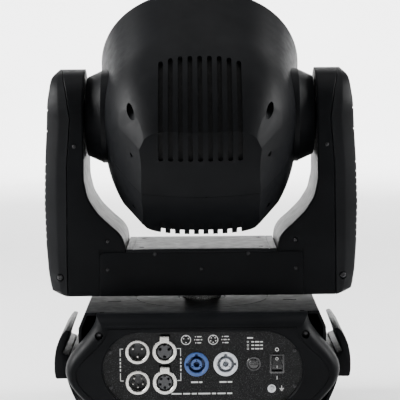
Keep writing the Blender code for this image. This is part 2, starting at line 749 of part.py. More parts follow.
def head_point(y, angle, shrink=0.0):
    """A corner of the head's section at y: round in front, squarer to the rear."""
    back = max(0.0, min(1.0, (FRONT_Y - y) / (FRONT_Y + 110)))
    power = FRONT_POWER + (REAR_POWER - FRONT_POWER) * back ** 2.2
    c = cos(angle)
    s = sin(angle)
    x = head_width(y, shrink) * abs(c) ** (2 / power) * (1 if c >= 0 else -1)
    z = head_height(y, shrink) * abs(s) ** (2 / power) * (1 if s >= 0 else -1)
    return x, z


def rear_depth(x, z, shrink=0.0):
    """How far behind the tilt axis the crowned rear face lies at x, z."""
    r = REAR_R - REAR_CROWN * (x / CROWN_X) ** 2 - shrink
    return sqrt(max(0.0, r * r - z * z))


def head_solid(front, shrink=0.0):
    """The head's volume: sections from the front to the rear edge, then the rear face."""
    angles = [2 * pi * (i + 0.5) / SECTION_STEPS for i in range(SECTION_STEPS)]
    edge = []
    for angle in angles:
        y = -110.0
        for _ in range(12):
            x, z = head_point(y, angle, shrink)
            y = (y - rear_depth(x, z, shrink)) / 2
        edge.append((x, y, z))
    rings = []
    for share in (0.0, 0.16, 0.32, 0.48, 0.62, 0.75, 0.88):
        ring = []
        for angle, (_, y_end, _) in zip(angles, edge):
            y = front + (y_end - front) * share
            x, z = head_point(y, angle, shrink)
            ring.append((x, y, z))
        rings.append(ring)
    rings.append(edge)
    for share in (0.75, 0.45, 0.15):
        rings.append([(x * share, -rear_depth(x * share, z * share, shrink), z * share)
                      for x, _, z in edge])
    return loft(rings)


def head_shell(up):
    """Half of the head's casing, cut at the parting plane, with its row of air slots."""
    shell = head_solid(SHELL_FRONT)
    inside = head_solid(SHELL_FRONT + 20, SHELL_T)
    big = 160.0
    other = block(-big, -big, -big, big, big, GAP / 2)
    hubs = turned([(0, -big), (HUB_R + 0.4, -big), (HUB_R + 0.4, big), (0, big)], axis="X", steps=40)
    side = [(-23.0, 125.0), (-150.0, 125.0), (-150.0, 49.9), (-108.0, 35.9), (-94.0, 50.0),
            (-23.0, 70.0)]
    slots = []
    for i in range(SLOT_COUNT):
        x = (i - (SLOT_COUNT - 1) / 2) * SLOT_PITCH
        slots.append(prism(side, x - SLOT_W / 2, x + SLOT_W / 2, "X"))
    half = cut(shell, inside, other, hubs, *slots)
    if not up:
        bmesh.ops.scale(half, verts=half.verts, vec=(1, 1, -1))
        bmesh.ops.reverse_faces(half, faces=half.faces)
    return half


def hub(side):
    """A tapered boss with the hollow tilt shaft."""
    profile = [(HUB_BORE, 90), (HUB_R, 90), (HUB_R, 103), (HUB_TIP_R, HUB_OUT), (HUB_SHAFT_R, HUB_OUT),
               (HUB_SHAFT_R, 136), (HUB_BORE, 136)]
    return turned([(r, side * x) for r, x in profile], axis="X", steps=28)


def front_bezel():
    """The front frame: it takes up the shell's outline and closes in round the glass."""
    angles = [2 * pi * (i + 0.5) / SECTION_STEPS for i in range(SECTION_STEPS)]
    rings = []
    for y, pull in BEZEL_STEPS:
        ring = []
        for angle in angles:
            x, z = head_point(y, angle, pull)
            ring.append((x, y, z))
        rings.append(ring)
    throat = turned([(0, 80), (BEZEL_BORE, 80), (BEZEL_BORE, 100), (0, 100)], axis="Y", steps=32)
    return cut(loft(rings), throat)


def heat_sink():
    """A finned block: the fins run up and down, with the air."""
    fins = 9
    pitch = 110.0 / (fins - 0.5)
    outline = [(55, -8.3), (-55, -8.3)]
    for i in range(fins):
        x = -55 + i * pitch
        outline += [(x, -70), (x + pitch / 2, -70)]
        if i < fins - 1:
            outline += [(x + pitch / 2, -18), (x + pitch, -18)]
    return prism(outline, -48, 48, "Z")


def fan_frame():
    frame = prism(rounded(-40, -40, 40, 40, 5), -90, -75, "Y")
    duct = turned([(0, -95), (37.5, -95), (37.5, -70), (0, -70)], axis="Y", steps=28)
    hoop = join(cut(frame, duct), block(-39, -77, -3, 39, -75.5, 3))
    return hoop


def fan_rotor():
    hub_body = turned([(0, -89), (13, -89), (14, -88), (14, -78), (0, -78)], axis="Y", steps=21)
    blades = []
    for i in range(7):
        blade = loft([[(x, -83 - w, -1), (x, -83 - w, 1), (x, -83 + w, 1), (x, -83 + w, -1)]
                      for x, w in ((12.0, 4.5), (36.0, 5.0))])
        bmesh.ops.rotate(blade, verts=blade.verts, cent=(0, -83, 0),
                         matrix=Matrix.Rotation(radians(32), 3, "X"))
        bmesh.ops.rotate(blade, verts=blade.verts, matrix=Matrix.Rotation(2 * pi * i / 7, 3, "Y"))
        blades.append(blade)
    return join(hub_body, *blades)


def lens_places():
    """The middle of each lens: one in the centre and six round it."""
    yield 0.0, 0.0
    for i in range(6):
        angle = radians(60 * i)
        yield LENS_RING * cos(angle), LENS_RING * sin(angle)


def lens_array():
    """The carrier plate with its lenses, and a lug for the lead screw."""
    plate = turned([(0, 50), (CARRIER_R, 50), (CARRIER_R, 54), (0, 54)], axis="Y", steps=32)
    lug = block(-7, 50.5, -84, 7, 53.5, -60)
    lenses = [turned([(0, 52), (20.5, 52), (20.5, 57), (16, 62.5), (9, 65.5), (0, 66.5)],
                     (x, 0, z), "Y", 12) for x, z in lens_places()]
    hole = turned([(0, 40), (3.2, 40), (3.2, 60), (0, 60)], (0, 0, -SCREW_Z), "Y", 12)
    return cut(join(plate, lug, *lenses), hole)


def make_head(head):
    put("head_shell_upper", head_shell(True), head, BLACK, 0.5)
    put("head_shell_lower", head_shell(False), head, BLACK, 0.5)
    for name, side in (("left", -1), ("right", 1)):
        put(f"hub_{name}", hub(side), head, BLACK, 0.5)
    put("tilt_pulley", pulley(TILT_PULLEY_R, HUB_SHAFT_R + GAP, 125.3, 132.7, "X"), head,
        ALLOY, 0.4, 0.9)
    put("front_bezel", front_bezel(), head, GREY, 0.4)
    glass = turned([(0, 86), (GLASS_R, 86), (GLASS_R, 89), (0, 89)], axis="Y", steps=32)
    put("front_glass", glass, head, GLASS, 0.05)
    put("head_chassis", turned([(0, -8), (86, -8), (86, -4), (0, -4)], axis="Y", steps=32), head,
        ALLOY, 0.45, 0.8)
    put("led_board", turned([(0, -3.7), (62, -3.7), (62, -2), (0, -2)], axis="Y", steps=28), head,
        GREEN, 0.5)
    put("heat_sink", heat_sink(), head, ALLOY, 0.4, 0.9)
    put("fan_frame", fan_frame(), head, BLACK, 0.5)
    put("fan_rotor", fan_rotor(), head, BLACK, 0.5, 0.0, (0, -83, 0))
    put("lens_array", lens_array(), head, GLASS, 0.1, 0.0, (0, 52, 0))
    motor = turned([(0, -3.7), (12, -3.7), (12, 24), (0, 24)], (0, 0, -SCREW_Z), "Y", 20)
    put("zoom_motor", motor, head, STEEL, 0.4, 0.8)
    screw = turned([(0, 24.3), (2.5, 24.3), (2.5, 80), (0, 80)], (0, 0, -SCREW_Z), "Y", 12)
    put("zoom_screw", screw, head, STEEL, 0.3, 0.9, (0, 52, -SCREW_Z))


def main():
    clear_scene()
    root = empty("light", at=(0, 0, FOOT_H))
    make_base(root)
    yoke = empty("pan_axis", parent=root)
    make_yoke(yoke)
    head = empty("tilt_axis", at=(0, 0, TILT_Z), turn=(REST_TILT, 0, 0), parent=yoke)
    make_head(head)


main()
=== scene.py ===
"""The looks of a moving head light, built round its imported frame.

Lengths in the modelling code are millimetres; `show` turns them into metres.
"""

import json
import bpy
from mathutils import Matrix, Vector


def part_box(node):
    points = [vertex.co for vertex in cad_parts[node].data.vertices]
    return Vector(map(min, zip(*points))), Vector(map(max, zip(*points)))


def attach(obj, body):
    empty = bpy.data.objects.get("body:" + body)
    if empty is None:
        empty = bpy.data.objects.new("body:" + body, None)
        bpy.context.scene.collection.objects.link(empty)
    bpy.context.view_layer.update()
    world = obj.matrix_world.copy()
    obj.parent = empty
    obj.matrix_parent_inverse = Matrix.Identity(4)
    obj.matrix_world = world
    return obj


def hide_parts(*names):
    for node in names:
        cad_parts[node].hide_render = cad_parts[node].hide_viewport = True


bl_info = {
    "name": "Moving Head Light",
    "version": (1, 0, 0),
    "blender": (4, 5, 0),
    "location": "View3D > Sidebar > Light",
    "description": "Builds a stage light's casings, panel, yoke, lamp head and studio",
    "category": "Add Mesh",
}

from math import atan2, cos, pi, radians, sin, sqrt

import bmesh
import bpy
from bpy.props import FloatProperty, FloatVectorProperty, IntProperty, PointerProperty
from mathutils import Matrix, Vector

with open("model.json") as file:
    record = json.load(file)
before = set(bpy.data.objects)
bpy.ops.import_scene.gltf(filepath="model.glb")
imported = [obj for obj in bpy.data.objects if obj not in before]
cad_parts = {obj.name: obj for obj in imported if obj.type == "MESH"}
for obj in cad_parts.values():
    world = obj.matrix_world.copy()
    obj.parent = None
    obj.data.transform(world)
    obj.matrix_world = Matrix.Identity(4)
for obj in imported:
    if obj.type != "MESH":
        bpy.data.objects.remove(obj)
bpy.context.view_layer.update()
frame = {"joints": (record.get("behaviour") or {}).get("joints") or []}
MM = 0.001
JOINTS = {joint["name"]: joint for joint in frame["joints"]}


def low(node):
    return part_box(node)[0] / MM


def high(node):
    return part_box(node)[1] / MM


# Datums read from the frame, in millimetres
TILT = Vector(JOINTS["tilt"]["pos_m"]) / MM
BEAM = Vector(JOINTS["zoom"]["axis"])
HEAD_TURN = Matrix.Translation(TILT) @ Matrix.Rotation(atan2(BEAM.z, BEAM.y), 4, "X")
FLOOR_GAP = low("base_tray").z
DECK = high("base_housing").z
WAIST = FLOOR_GAP + (DECK - FLOOR_GAP) / 2
BODY_Y = high("base_housing").y
END_Y = high("front_shell").y
END_X = high("rear_shell").x
PANEL_Y = high("front_panel").y
YOKE_LOW = low("crossbar").z
BAR_TOP = high("crossbar_cover").z
BAR_X = high("crossbar_cover").x
PLATE_X = high("crossbar_rear_plate").x
PLATE_TOP = high("crossbar_rear_plate").z
YOKE_Y = high("arm_frame_right").y
ARM_TOP_R = 50.0
WALL = 3.0
GAP = 0.3


def centre(node):
    return (low(node) + high(node)) / 2


# ------------------------------------------------------------- outlines

def arc(cx, cy, r, start, end, steps):
    turn = radians(end - start) / steps
    return [(cx + r * cos(radians(start) + i * turn), cy + r * sin(radians(start) + i * turn))
            for i in range(steps + 1)]


def circle(r, steps=48, cx=0.0, cy=0.0):
    return arc(cx, cy, r, 0, 360, steps)[:-1]


def rounded(x0, y0, x1, y1, r, steps=6):
    return (arc(x1 - r, y0 + r, r, -90, 0, steps) + arc(x1 - r, y1 - r, r, 0, 90, steps)
            + arc(x0 + r, y1 - r, r, 90, 180, steps) + arc(x0 + r, y0 + r, r, 180, 270, steps))


def stadium(cx, cy, half, r, steps=28):
    return (arc(cx + half - r, cy, r, -90, 90, steps)
            + arc(cx - half + r, cy, r, 90, 270, steps))


def reading(points, value):
    """Straight-line reading of (key, result) points in rising key order."""
    for (k0, v0), (k1, v1) in zip(points, points[1:]):
        if value <= k1:
            return v0 + (v1 - v0) * max(0.0, value - k0) / (k1 - k0)
    return points[-1][1]


def eased(points, value, reach=4.0):
    """The same reading with its corners rounded over `reach`."""
    return sum(reading(points, value + reach * k / 2) for k in (-2, -1, 0, 1, 2)) / 5


# --------------------------------------------------------------- solids

def loft(rings, caps=True):
    bm = bmesh.new()
    rows = [[bm.verts.new(p) for p in ring] for ring in rings]
    for near, far in zip(rows, rows[1:]):
        for i in range(len(near)):
            j = (i + 1) % len(near)
            bm.faces.new((near[i], near[j], far[j], far[i]))
    if caps:
        bm.faces.new(list(reversed(rows[0])))
        bm.faces.new(rows[-1])
    bmesh.ops.recalc_face_normals(bm, faces=bm.faces)
    return bm


def place(axis, u, v, w):
    return {"X": (w, u, v), "Y": (u, w, v), "Z": (u, v, w)}[axis]


def prism(outline, start, end, axis="Z"):
    return loft([[place(axis, u, v, w) for u, v in outline] for w in (start, end)])


def block(x0, y0, z0, x1, y1, z1):
    return prism([(x0, y0), (x1, y0), (x1, y1), (x0, y1)], z0, z1)


def turned(profile, axis="Y", steps=48, at=(0, 0, 0)):
    """A solid of revolution from (radius, height) points; it closes into a ring off the axis."""
    bm = bmesh.new()
    rows = []
    for r, w in profile:
        ring = circle(r, steps) if r else [(0, 0)]
        rows.append([bm.verts.new(place(axis, u, v, w)) for u, v in ring])
    pairs = list(zip(rows, rows[1:]))
    if profile[0][0] and profile[-1][0]:
        pairs.append((rows[-1], rows[0]))
    for near, far in pairs:
        for i in range(steps):
            j = (i + 1) % steps
            corners = (near[i % len(near)], near[j % len(near)], far[j % len(far)], far[i % len(far)])
            bm.faces.new(list(dict.fromkeys(corners)))
    bmesh.ops.recalc_face_normals(bm, faces=bm.faces)
    return moved(bm, at)


def moved(bm, by):
    bmesh.ops.translate(bm, verts=bm.verts, vec=Vector(by))
    return bm


def spun(bm, angle, axis, about=(0, 0, 0)):
    bmesh.ops.rotate(bm, verts=bm.verts, cent=Vector(about), matrix=Matrix.Rotation(angle, 3, axis))
    return bm


def flipped(bm, axis):
    scale = [-1 if letter == axis else 1 for letter in "XYZ"]
    bmesh.ops.scale(bm, verts=bm.verts, vec=scale)
    bmesh.ops.reverse_faces(bm, faces=bm.faces)
    return bm


def gathered(*shapes):
    """Several separate solids in one mesh."""
    out = bmesh.new()
    for shape in shapes:
        mesh = bpy.data.meshes.new("part")
        shape.to_mesh(mesh)
        shape.free()
        out.from_mesh(mesh)
        bpy.data.meshes.remove(mesh)
    return out


def bare_object(bm, name):
    mesh = bpy.data.meshes.new(name)
    bm.to_mesh(mesh)
    bm.free()
    item = bpy.data.objects.new(name, mesh)
    bpy.context.scene.collection.objects.link(item)
    return item


def combine(base, tool, how):
    target = bare_object(base, "work")
    other = bare_object(tool, "tool")
    step = target.modifiers.new("step", "BOOLEAN")
    step.operation = how
    step.solver = "EXACT"
    step.object = other
    bpy.context.view_layer.update()
    ready = target.evaluated_get(bpy.context.evaluated_depsgraph_get())
    result = bmesh.new()
    result.from_mesh(ready.to_mesh())
    ready.to_mesh_clear()
    for item in (target, other):
        mesh = item.data
        bpy.data.objects.remove(item)
        bpy.data.meshes.remove(mesh)
    bmesh.ops.remove_doubles(result, verts=result.verts, dist=0.0005)
    return result


def cut(base, *tools):
    """Cuts one tool at a time; a tool may be several separate solids gathered in one."""
    for tool in tools:
        base = combine(base, tool, "DIFFERENCE")
    return base


def join(base, *tools):
    for tool in tools:
        base = combine(base, tool, "UNION")
    return base


def eased_edges(bm, width, angle=35, segments=2):
    """Rounds the sharp edges of a solid by `width`."""
    item = bare_object(bm, "work")
    step = item.modifiers.new("edges", "BEVEL")
    step.width = width
    step.segments = segments
    step.limit_method = "ANGLE"
    step.angle_limit = radians(angle)
    step.harden_normals = False
    bpy.context.view_layer.update()
    ready = item.evaluated_get(bpy.context.evaluated_depsgraph_get())
    result = bmesh.new()
    result.from_mesh(ready.to_mesh())
    ready.to_mesh_clear()
    mesh = item.data
    bpy.data.objects.remove(item)
    bpy.data.meshes.remove(mesh)
    return result


def show(name, bm, body, finish, stands_for=(), sharp=30, turn=None):
    """Makes a solid a named piece that rides on a body with a finish, and hides the frame parts it
    stands for.
    """
    bmesh.ops.transform(bm, matrix=Matrix.Scale(MM, 4) @ (turn or Matrix()), verts=bm.verts)
    item = bare_object(bm, name)
    item.data.materials.append(finish)
    item.data.shade_smooth()
    item.data.set_sharp_from_angle(angle=radians(sharp))
    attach(item, body)
    if stands_for:
        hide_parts(*stands_for)
    return item


# ------------------------------------------------------------- finishes

def fresh(name, rough=0.5, metal=0.0, specular=0.5):
    """A new material with its shader's even values set."""
    made = bpy.data.materials.new(name)
    made.use_nodes = True
    shader = made.node_tree.nodes["Principled BSDF"]
    shader.inputs["Roughness"].default_value = rough
    shader.inputs["Metallic"].default_value = metal
    shader.inputs["Specular IOR Level"].default_value = specular
    return made


def add(tree, kind, links=(), **values):
    """A node with settings by attribute, and inputs linked as (socket, output) pairs."""
    node = tree.nodes.new(kind)
    for key, value in values.items():
        if hasattr(node, key) and not key[0].isupper():
            setattr(node, key, value)
        else:
            node.inputs[key].default_value = value
    for socket, output in links:
        tree.links.new(output, node.inputs[socket])
    return node


def grain(tree, size, detail=2.0, stretch=(1, 1, 1), offset=0.0):
    """Cloudy noise whose clouds are about `size` millimetres across."""
    place_at = add(tree, "ShaderNodeTexCoord")
    mapping = add(tree, "ShaderNodeMapping", [("Vector", place_at.outputs["Object"])])
    mapping.inputs["Scale"].default_value = stretch
    mapping.inputs["Location"].default_value = (offset, offset, offset)
    noise = add(tree, "ShaderNodeTexNoise", [("Vector", mapping.outputs[0])],
                Scale=1 / (size * MM), Detail=detail)
    return noise.outputs["Fac"]


def cells(tree, size, feature="F1"):
    place_at = add(tree, "ShaderNodeTexCoord")
    node = add(tree, "ShaderNodeTexVoronoi", [("Vector", place_at.outputs["Object"])],
               feature=feature, Scale=1 / (size * MM))
    return node.outputs["Distance"]


def spread(tree, source, start, end, low_in=0.3, high_in=0.7):
    """Maps a 0..1 pattern to values between start and end."""
    node = add(tree, "ShaderNodeMapRange", [("Value", source)])
    for socket, value in (("From Min", low_in), ("From Max", high_in), ("To Min", start),
                          ("To Max", end)):
        node.inputs[socket].default_value = value
    return node.outputs[0]


def blend_of(tree, factor, first, second):
    """A colour between two; each is a colour or another node's output."""
    node = tree.nodes.new("ShaderNodeMix")
    node.data_type = "RGBA"
    tree.links.new(factor, node.inputs[0])
    for socket, value in ((6, first), (7, second)):
        if isinstance(value, bpy.types.NodeSocket):
            tree.links.new(value, node.inputs[socket])
        else:
            node.inputs[socket].default_value = (*value, 1)
    return node.outputs[2]


def relief(tree, height, depth, strength=1.0, under=None):
    """A bump of `depth` millimetres, on top of another bump if one is given."""
    node = add(tree, "ShaderNodeBump", [("Height", height)], Strength=strength, Distance=depth * MM)
    if under:
        tree.links.new(under, node.inputs["Normal"])
    return node.outputs[0]


def wire(tree, **sources):
    shader = tree.nodes["Principled BSDF"]
    names = {"colour": "Base Color", "rough": "Roughness", "normal": "Normal"}
    for key, output in sources.items():
        tree.links.new(output, shader.inputs[names[key]])


def tint(colour, factor):
    return tuple(min(1.0, channel * factor) for channel in colour)


def moulded_finish(name, colour, rough, texture=0.55, depth=0.05, dust=0.10):
    """Injection-moulded plastic: spark-eroded texture, faint flow clouds and a little dust."""
    made = fresh(name, rough, specular=0.05)
    tree = made.node_tree
    clouds = grain(tree, 34, 3)
    speck = grain(tree, 1.1, 4)
    base = blend_of(tree, spread(tree, clouds, 0, 1), tint(colour, 0.82), tint(colour, 1.2))
    dusty = blend_of(tree, spread(tree, speck, 0, dust, 0.56, 0.8), base, tint(colour, 4.0))
    sheen_clouds = grain(tree, 9, 5, offset=3.0)
    gloss = spread(tree, sheen_clouds, rough - 0.05, rough + 0.07)
    stipple = relief(tree, grain(tree, texture, 3), depth, 0.35)
    leather = relief(tree, cells(tree, texture * 1.9, "SMOOTH_F1"), depth * 0.8, 0.2, stipple)
    wire(tree, colour=dusty, rough=gloss, normal=leather)
    return made


def powder_finish(name, colour, rough, fleck):
    """Sheet metal in a speckled powder coat with its orange-peel skin."""
    made = fresh(name, rough, specular=0.10)
    tree = made.node_tree
    flecks = spread(tree, grain(tree, 0.8, 2), 0, 1, 0.6, 0.66)
    base = blend_of(tree, spread(tree, grain(tree, 22, 3), 0, 1), tint(colour, 0.85), tint(colour,
                                                                                           1.15))
    speckled = blend_of(tree, flecks, base, fleck)
    peel = relief(tree, grain(tree, 1.3, 2), 0.07, 0.6)
    grit = relief(tree, grain(tree, 0.45, 2), 0.04, 0.5, peel)
    wire(tree, colour=speckled, rough=spread(tree, grain(tree, 5, 4), rough - 0.08, rough + 0.1),
         normal=grit)
    return made


def metal_finish(name, colour, rough, lay=(1, 1, 1), scratch=0.02):
    """Bare or plated metal with a directional machining lay, smudges and fine scratches."""
    made = fresh(name, rough, metal=1.0)
    tree = made.node_tree
    smudge = grain(tree, 14, 4)
    lines = grain(tree, 1.6, 3, stretch=lay)
    base = blend_of(tree, spread(tree, smudge, 0, 1), tint(colour, 0.86), tint(colour, 1.06))
    toned = blend_of(tree, spread(tree, lines, 0, 0.5), base, tint(colour, 0.72))
    wire(tree, colour=toned, rough=spread(tree, lines, rough - 0.05, rough + 0.14),
         normal=relief(tree, lines, scratch, 0.4))
    return made


def rubber_finish(name, colour):
    made = fresh(name, 0.8, specular=0.3)
    tree = made.node_tree
    bloom = spread(tree, grain(tree, 6, 5), 0, 0.5, 0.45, 0.75)
    wire(tree, colour=blend_of(tree, bloom, colour, tint(colour, 2.6)),
         rough=spread(tree, grain(tree, 3, 3), 0.7, 0.92),
         normal=relief(tree, grain(tree, 0.7, 4), 0.06, 0.6))
    return made


def gloss_finish(name, colour, rough, coat=0.0):
    """Smooth moulded plastic with light handling marks."""
    made = fresh(name, rough)
    made.node_tree.nodes["Principled BSDF"].inputs["Coat Weight"].default_value = coat
    tree = made.node_tree
    marks = grain(tree, 4, 6)
    wire(tree, colour=blend_of(tree, spread(tree, grain(tree, 12, 2), 0, 1), tint(colour, 0.9),
                               tint(colour, 1.08)),
         rough=spread(tree, marks, rough - 0.04, rough + 0.12),
         normal=relief(tree, grain(tree, 2.5, 2), 0.015, 0.3))
    return made


def clear_finish(name, tone, rough=0.02, ior=1.49):
    """Clear glass or acrylic; faint dust shows in its gloss and its tone."""
    made = fresh(name, rough)
    shader = made.node_tree.nodes["Principled BSDF"]
    shader.inputs["Transmission Weight"].default_value = 1.0
    shader.inputs["IOR"].default_value = ior
    tree = made.node_tree
    dust = spread(tree, grain(tree, 1.4, 6), 0, 1, 0.58, 0.75)
    wire(tree, colour=blend_of(tree, dust, tone, tint(tone, 0.9)),
         rough=spread(tree, grain(tree, 7, 5), rough, rough + 0.05, 0.5, 0.8),
         normal=relief(tree, grain(tree, 18, 2), 0.01, 0.1))
    return made


def board_finish(name, mask, copper):
    """Solder mask over square-routed copper tracks."""
    made = fresh(name, 0.35)
    tree = made.node_tree
    place_at = add(tree, "ShaderNodeTexCoord")
    tracks = add(tree, "ShaderNodeTexBrick", [("Vector", place_at.outputs["Object"])],
                 Scale=1 / (9 * MM))
    tracks.inputs["Mortar Size"].default_value = 0.03
    tracks.inputs["Color1"].default_value = (0, 0, 0, 1)
    tracks.inputs["Color2"].default_value = (0.3, 0.3, 0.3, 1)
    tracks.inputs["Mortar"].default_value = (1, 1, 1, 1)
    lines = tracks.outputs["Fac"]
    wire(tree, colour=blend_of(tree, lines, mask, copper),
         rough=spread(tree, grain(tree, 5, 3), 0.28, 0.45),
         normal=relief(tree, lines, 0.05, 0.6))
    return made


def screen_finish(name, colour, lit):
    """A dark display behind its window: a fine dot grid that is barely lit."""
    made = fresh(name, 0.12)
    made.node_tree.nodes["Principled BSDF"].inputs["Coat Weight"].default_value = 0.6
    tree = made.node_tree
    dots = spread(tree, cells(tree, 0.6), 1, 0, 0.2, 0.5)
    wire(tree, colour=blend_of(tree, dots, colour, lit),
         rough=spread(tree, grain(tree, 9, 5), 0.08, 0.2),
         normal=relief(tree, grain(tree, 25, 1), 0.01, 0.1))
    return made


def print_finish(name, colour):
    """Screen-printed ink, thin at its edges."""
    made = fresh(name, 0.55, specular=0.35)
    tree = made.node_tree
    thin = spread(tree, grain(tree, 0.5, 4), 0, 0.6, 0.5, 0.75)
    wire(tree, colour=blend_of(tree, thin, colour, tint(colour, 0.6)),
         rough=spread(tree, grain(tree, 2, 3), 0.45, 0.65),
         normal=relief(tree, grain(tree, 0.6, 2), 0.02, 0.4))
    return made


def emitter_finish(name, colour):
    """The yellow phosphor dome of an unlit emitter."""
    made = fresh(name, 0.3)
    made.node_tree.nodes["Principled BSDF"].inputs["Coat Weight"].default_value = 0.8
    tree = made.node_tree
    wire(tree, colour=blend_of(tree, spread(tree, grain(tree, 0.8, 4), 0, 1), tint(colour, 0.8),
                               colour),
         rough=spread(tree, grain(tree, 1.5, 3), 0.25, 0.4),
         normal=relief(tree, grain(tree, 0.5, 3), 0.03, 0.5))
    return made


# --------------------------------------------------------------- sizes

class CasingFinishes(bpy.types.PropertyGroup):
    """Colours and textures of the painted and moulded pieces."""
    shell: FloatVectorProperty(
        name="Casing colour", description="Black plastic of the head, yoke and base",
        subtype="COLOR", size=3, min=0, max=1, default=(0.0040, 0.0043, 0.0049))
    cover: FloatVectorProperty(
        name="Cover colour", description="Slightly lighter plastic of the arm covers",
        subtype="COLOR", size=3, min=0, max=1, default=(0.0055, 0.0058, 0.0064))
    plate: FloatVectorProperty(
        name="Plate colour", description="Powder coat of the connector plate",
        subtype="COLOR", size=3, min=0, max=1, default=(0.0075, 0.0077, 0.0078))
    blue: FloatVectorProperty(
        name="Inlet colour", description="Blue plastic of the power inlet",
        subtype="COLOR", size=3, min=0, max=1, default=(0.030, 0.085, 0.27))
    white: FloatVectorProperty(
        name="Outlet colour", description="Pale plastic of the power outlet",
        subtype="COLOR", size=3, min=0, max=1, default=(0.62, 0.64, 0.68))
    texture: FloatProperty(
        name="Casing texture", description="Grain of the moulded texture, in millimetres",
        default=0.55, min=0.2, max=2.0)


class ShapeSizes(bpy.types.PropertyGroup):
    """Small shapes worked into the casings."""
    slot_count: IntProperty(
        name="Head slots", description="Air slots over the back of the head", default=9, min=3, max=9)
    slot_pitch: FloatProperty(
        name="Slot pitch", description="Distance between air slots", default=0.0098,
        subtype="DISTANCE", unit="LENGTH")
    slot_width: FloatProperty(
        name="Slot width", description="Width of one air slot", default=0.0047,
        subtype="DISTANCE", unit="LENGTH")
    rib_pitch: FloatProperty(
        name="Rib pitch", description="Distance between the grooves on an arm cover",
        default=0.0068, subtype="DISTANCE", unit="LENGTH")


class StudioSetup(bpy.types.PropertyGroup):
    """Camera and lights."""
    eye_height: FloatProperty(
        name="Eye height", description="Camera height over the floor", default=0.402,
        subtype="DISTANCE", unit="LENGTH")
    eye_distance: FloatProperty(
        name="Eye distance", description="Camera distance behind the pan axis", default=1.708,
        subtype="DISTANCE", unit="LENGTH")
    aim_height: FloatProperty(
        name="Aim height", description="Height that the camera looks at", default=0.2295,
        subtype="DISTANCE", unit="LENGTH")
    lens: FloatProperty(
        name="Lens", description="Focal length in millimetres", default=145.8, min=20)
    side_light: FloatProperty(
        name="Side lights", description="Power of each side softbox in watts", default=75.0, min=0)
    backdrop_light: FloatProperty(
        name="Backdrop lights", description="Power of each light on the floor and wall behind",
        default=135.0, min=0)
    top_light: FloatProperty(
        name="Top light", description="Power of the top softbox in watts", default=12.0, min=0)


FINISHES = {}


def finish(name):
    """Makes each finish once, from the sizes and colours on the scene."""
    if name in FINISHES:
        return FINISHES[name]
    tones = bpy.context.scene.casing_finishes
    texture = tones.texture
    makers = {
        "casing": lambda: moulded_finish("casing_plastic", tones.shell, 0.43, texture),
        "cover": lambda: moulded_finish("cover_plastic", tones.cover, 0.45, texture * 1.2),
        # bar: the cover plastic painted 1.5 times lighter on the crossbar's upward-facing top, a
        # painted highlight
        "bar": lambda: moulded_finish("bar_top_painted_highlight", tint(tones.cover, 1.5), 0.42, texture),
        "chassis": lambda: powder_finish("chassis_coat", tint(tones.shell, 1.1), 0.55, (0.05, 0.05,
                                                                                        0.055)),
        "plate": lambda: powder_finish("plate_coat", tones.plate, 0.5, (0.085, 0.085, 0.09)),
        "nickel": lambda: metal_finish("nickel_plate", (0.66, 0.65, 0.62), 0.24),
        # the near-black sheet behind the head's air slots is painted shade
        "shade_sheet": lambda: rubber_finish("painted_shade_matte", (0.002, 0.002, 0.0022)),
        "insert": lambda: gloss_finish("socket_insert", (0.035, 0.036, 0.04), 0.4),
        "blue": lambda: gloss_finish("blue_plastic", tones.blue, 0.34),
        "white": lambda: gloss_finish("pale_plastic", tones.white, 0.36),
        "gloss": lambda: gloss_finish("black_gloss", (0.012, 0.012, 0.013), 0.22, 0.3),
        "button": lambda: gloss_finish("button_plastic", (0.14, 0.145, 0.15), 0.45),
        "steel": lambda: metal_finish("ground_steel", (0.60, 0.60, 0.59), 0.16, (1, 1, 6)),
        "screw": lambda: metal_finish("black_screw", (0.05, 0.05, 0.052), 0.38),
        "zinc": lambda: metal_finish("zinc_plate", (0.58, 0.59, 0.61), 0.3),
        "alloy": lambda: metal_finish("milled_alloy", (0.50, 0.51, 0.52), 0.36, (4, 1, 1)),
        "brass": lambda: metal_finish("gold_contact", (0.75, 0.58, 0.28), 0.25),
        "rubber": lambda: rubber_finish("foot_rubber", (0.014, 0.014, 0.014)),
        "belt": lambda: rubber_finish("belt_rubber", (0.02, 0.02, 0.02)),
        "glass": lambda: clear_finish("front_glass_clear", (0.96, 0.98, 0.98), 0.02, 1.52),
        "optic": lambda: clear_finish("lens_acrylic", (0.95, 0.97, 1.0), 0.03, 1.49),
        "board": lambda: board_finish("green_board", (0.012, 0.10, 0.045), (0.10, 0.28, 0.12)),
        "screen": lambda: screen_finish("display_window", (0.006, 0.009, 0.014), (0.012, 0.03, 0.05)),
        "ink": lambda: print_finish("white_ink", (0.70, 0.70, 0.69)),
        "emitter": lambda: emitter_finish("phosphor", (0.75, 0.55, 0.10)),
    }
    FINISHES[name] = makers[name]()
    return FINISHES[name]


def refinish(name, *nodes):
    """Gives frame nodes that stay in view a finish."""
    for node in nodes:
        item = bpy.data.objects[node]
        item.data.materials.clear()
        item.data.materials.append(finish(name))


# ------------------------------------------------------- shared small parts

def screw_heads(spots, r, axis, facing, sink=0.0):
    """Pan-head screws with a hex socket at (x, y, z) spots, all turned to `facing` on an axis."""
    shapes = []
    for spot in spots:
        profile = [(0, -0.6), (r, -0.6), (r, 0.35 * r), (0.86 * r, 0.55 * r), (0.5 * r, 0.68 * r),
                   (0.5 * r, 0.1 * r), (0, 0.1 * r)]
        head = turned([(a, facing * w) for a, w in profile], axis, 24)
        along = Vector(place(axis, 0, 0, 1)) * facing
        shapes.append(moved(head, Vector(spot) - along * sink))
    return gathered(*shapes)


# ---------------------------------------------------------------- the base

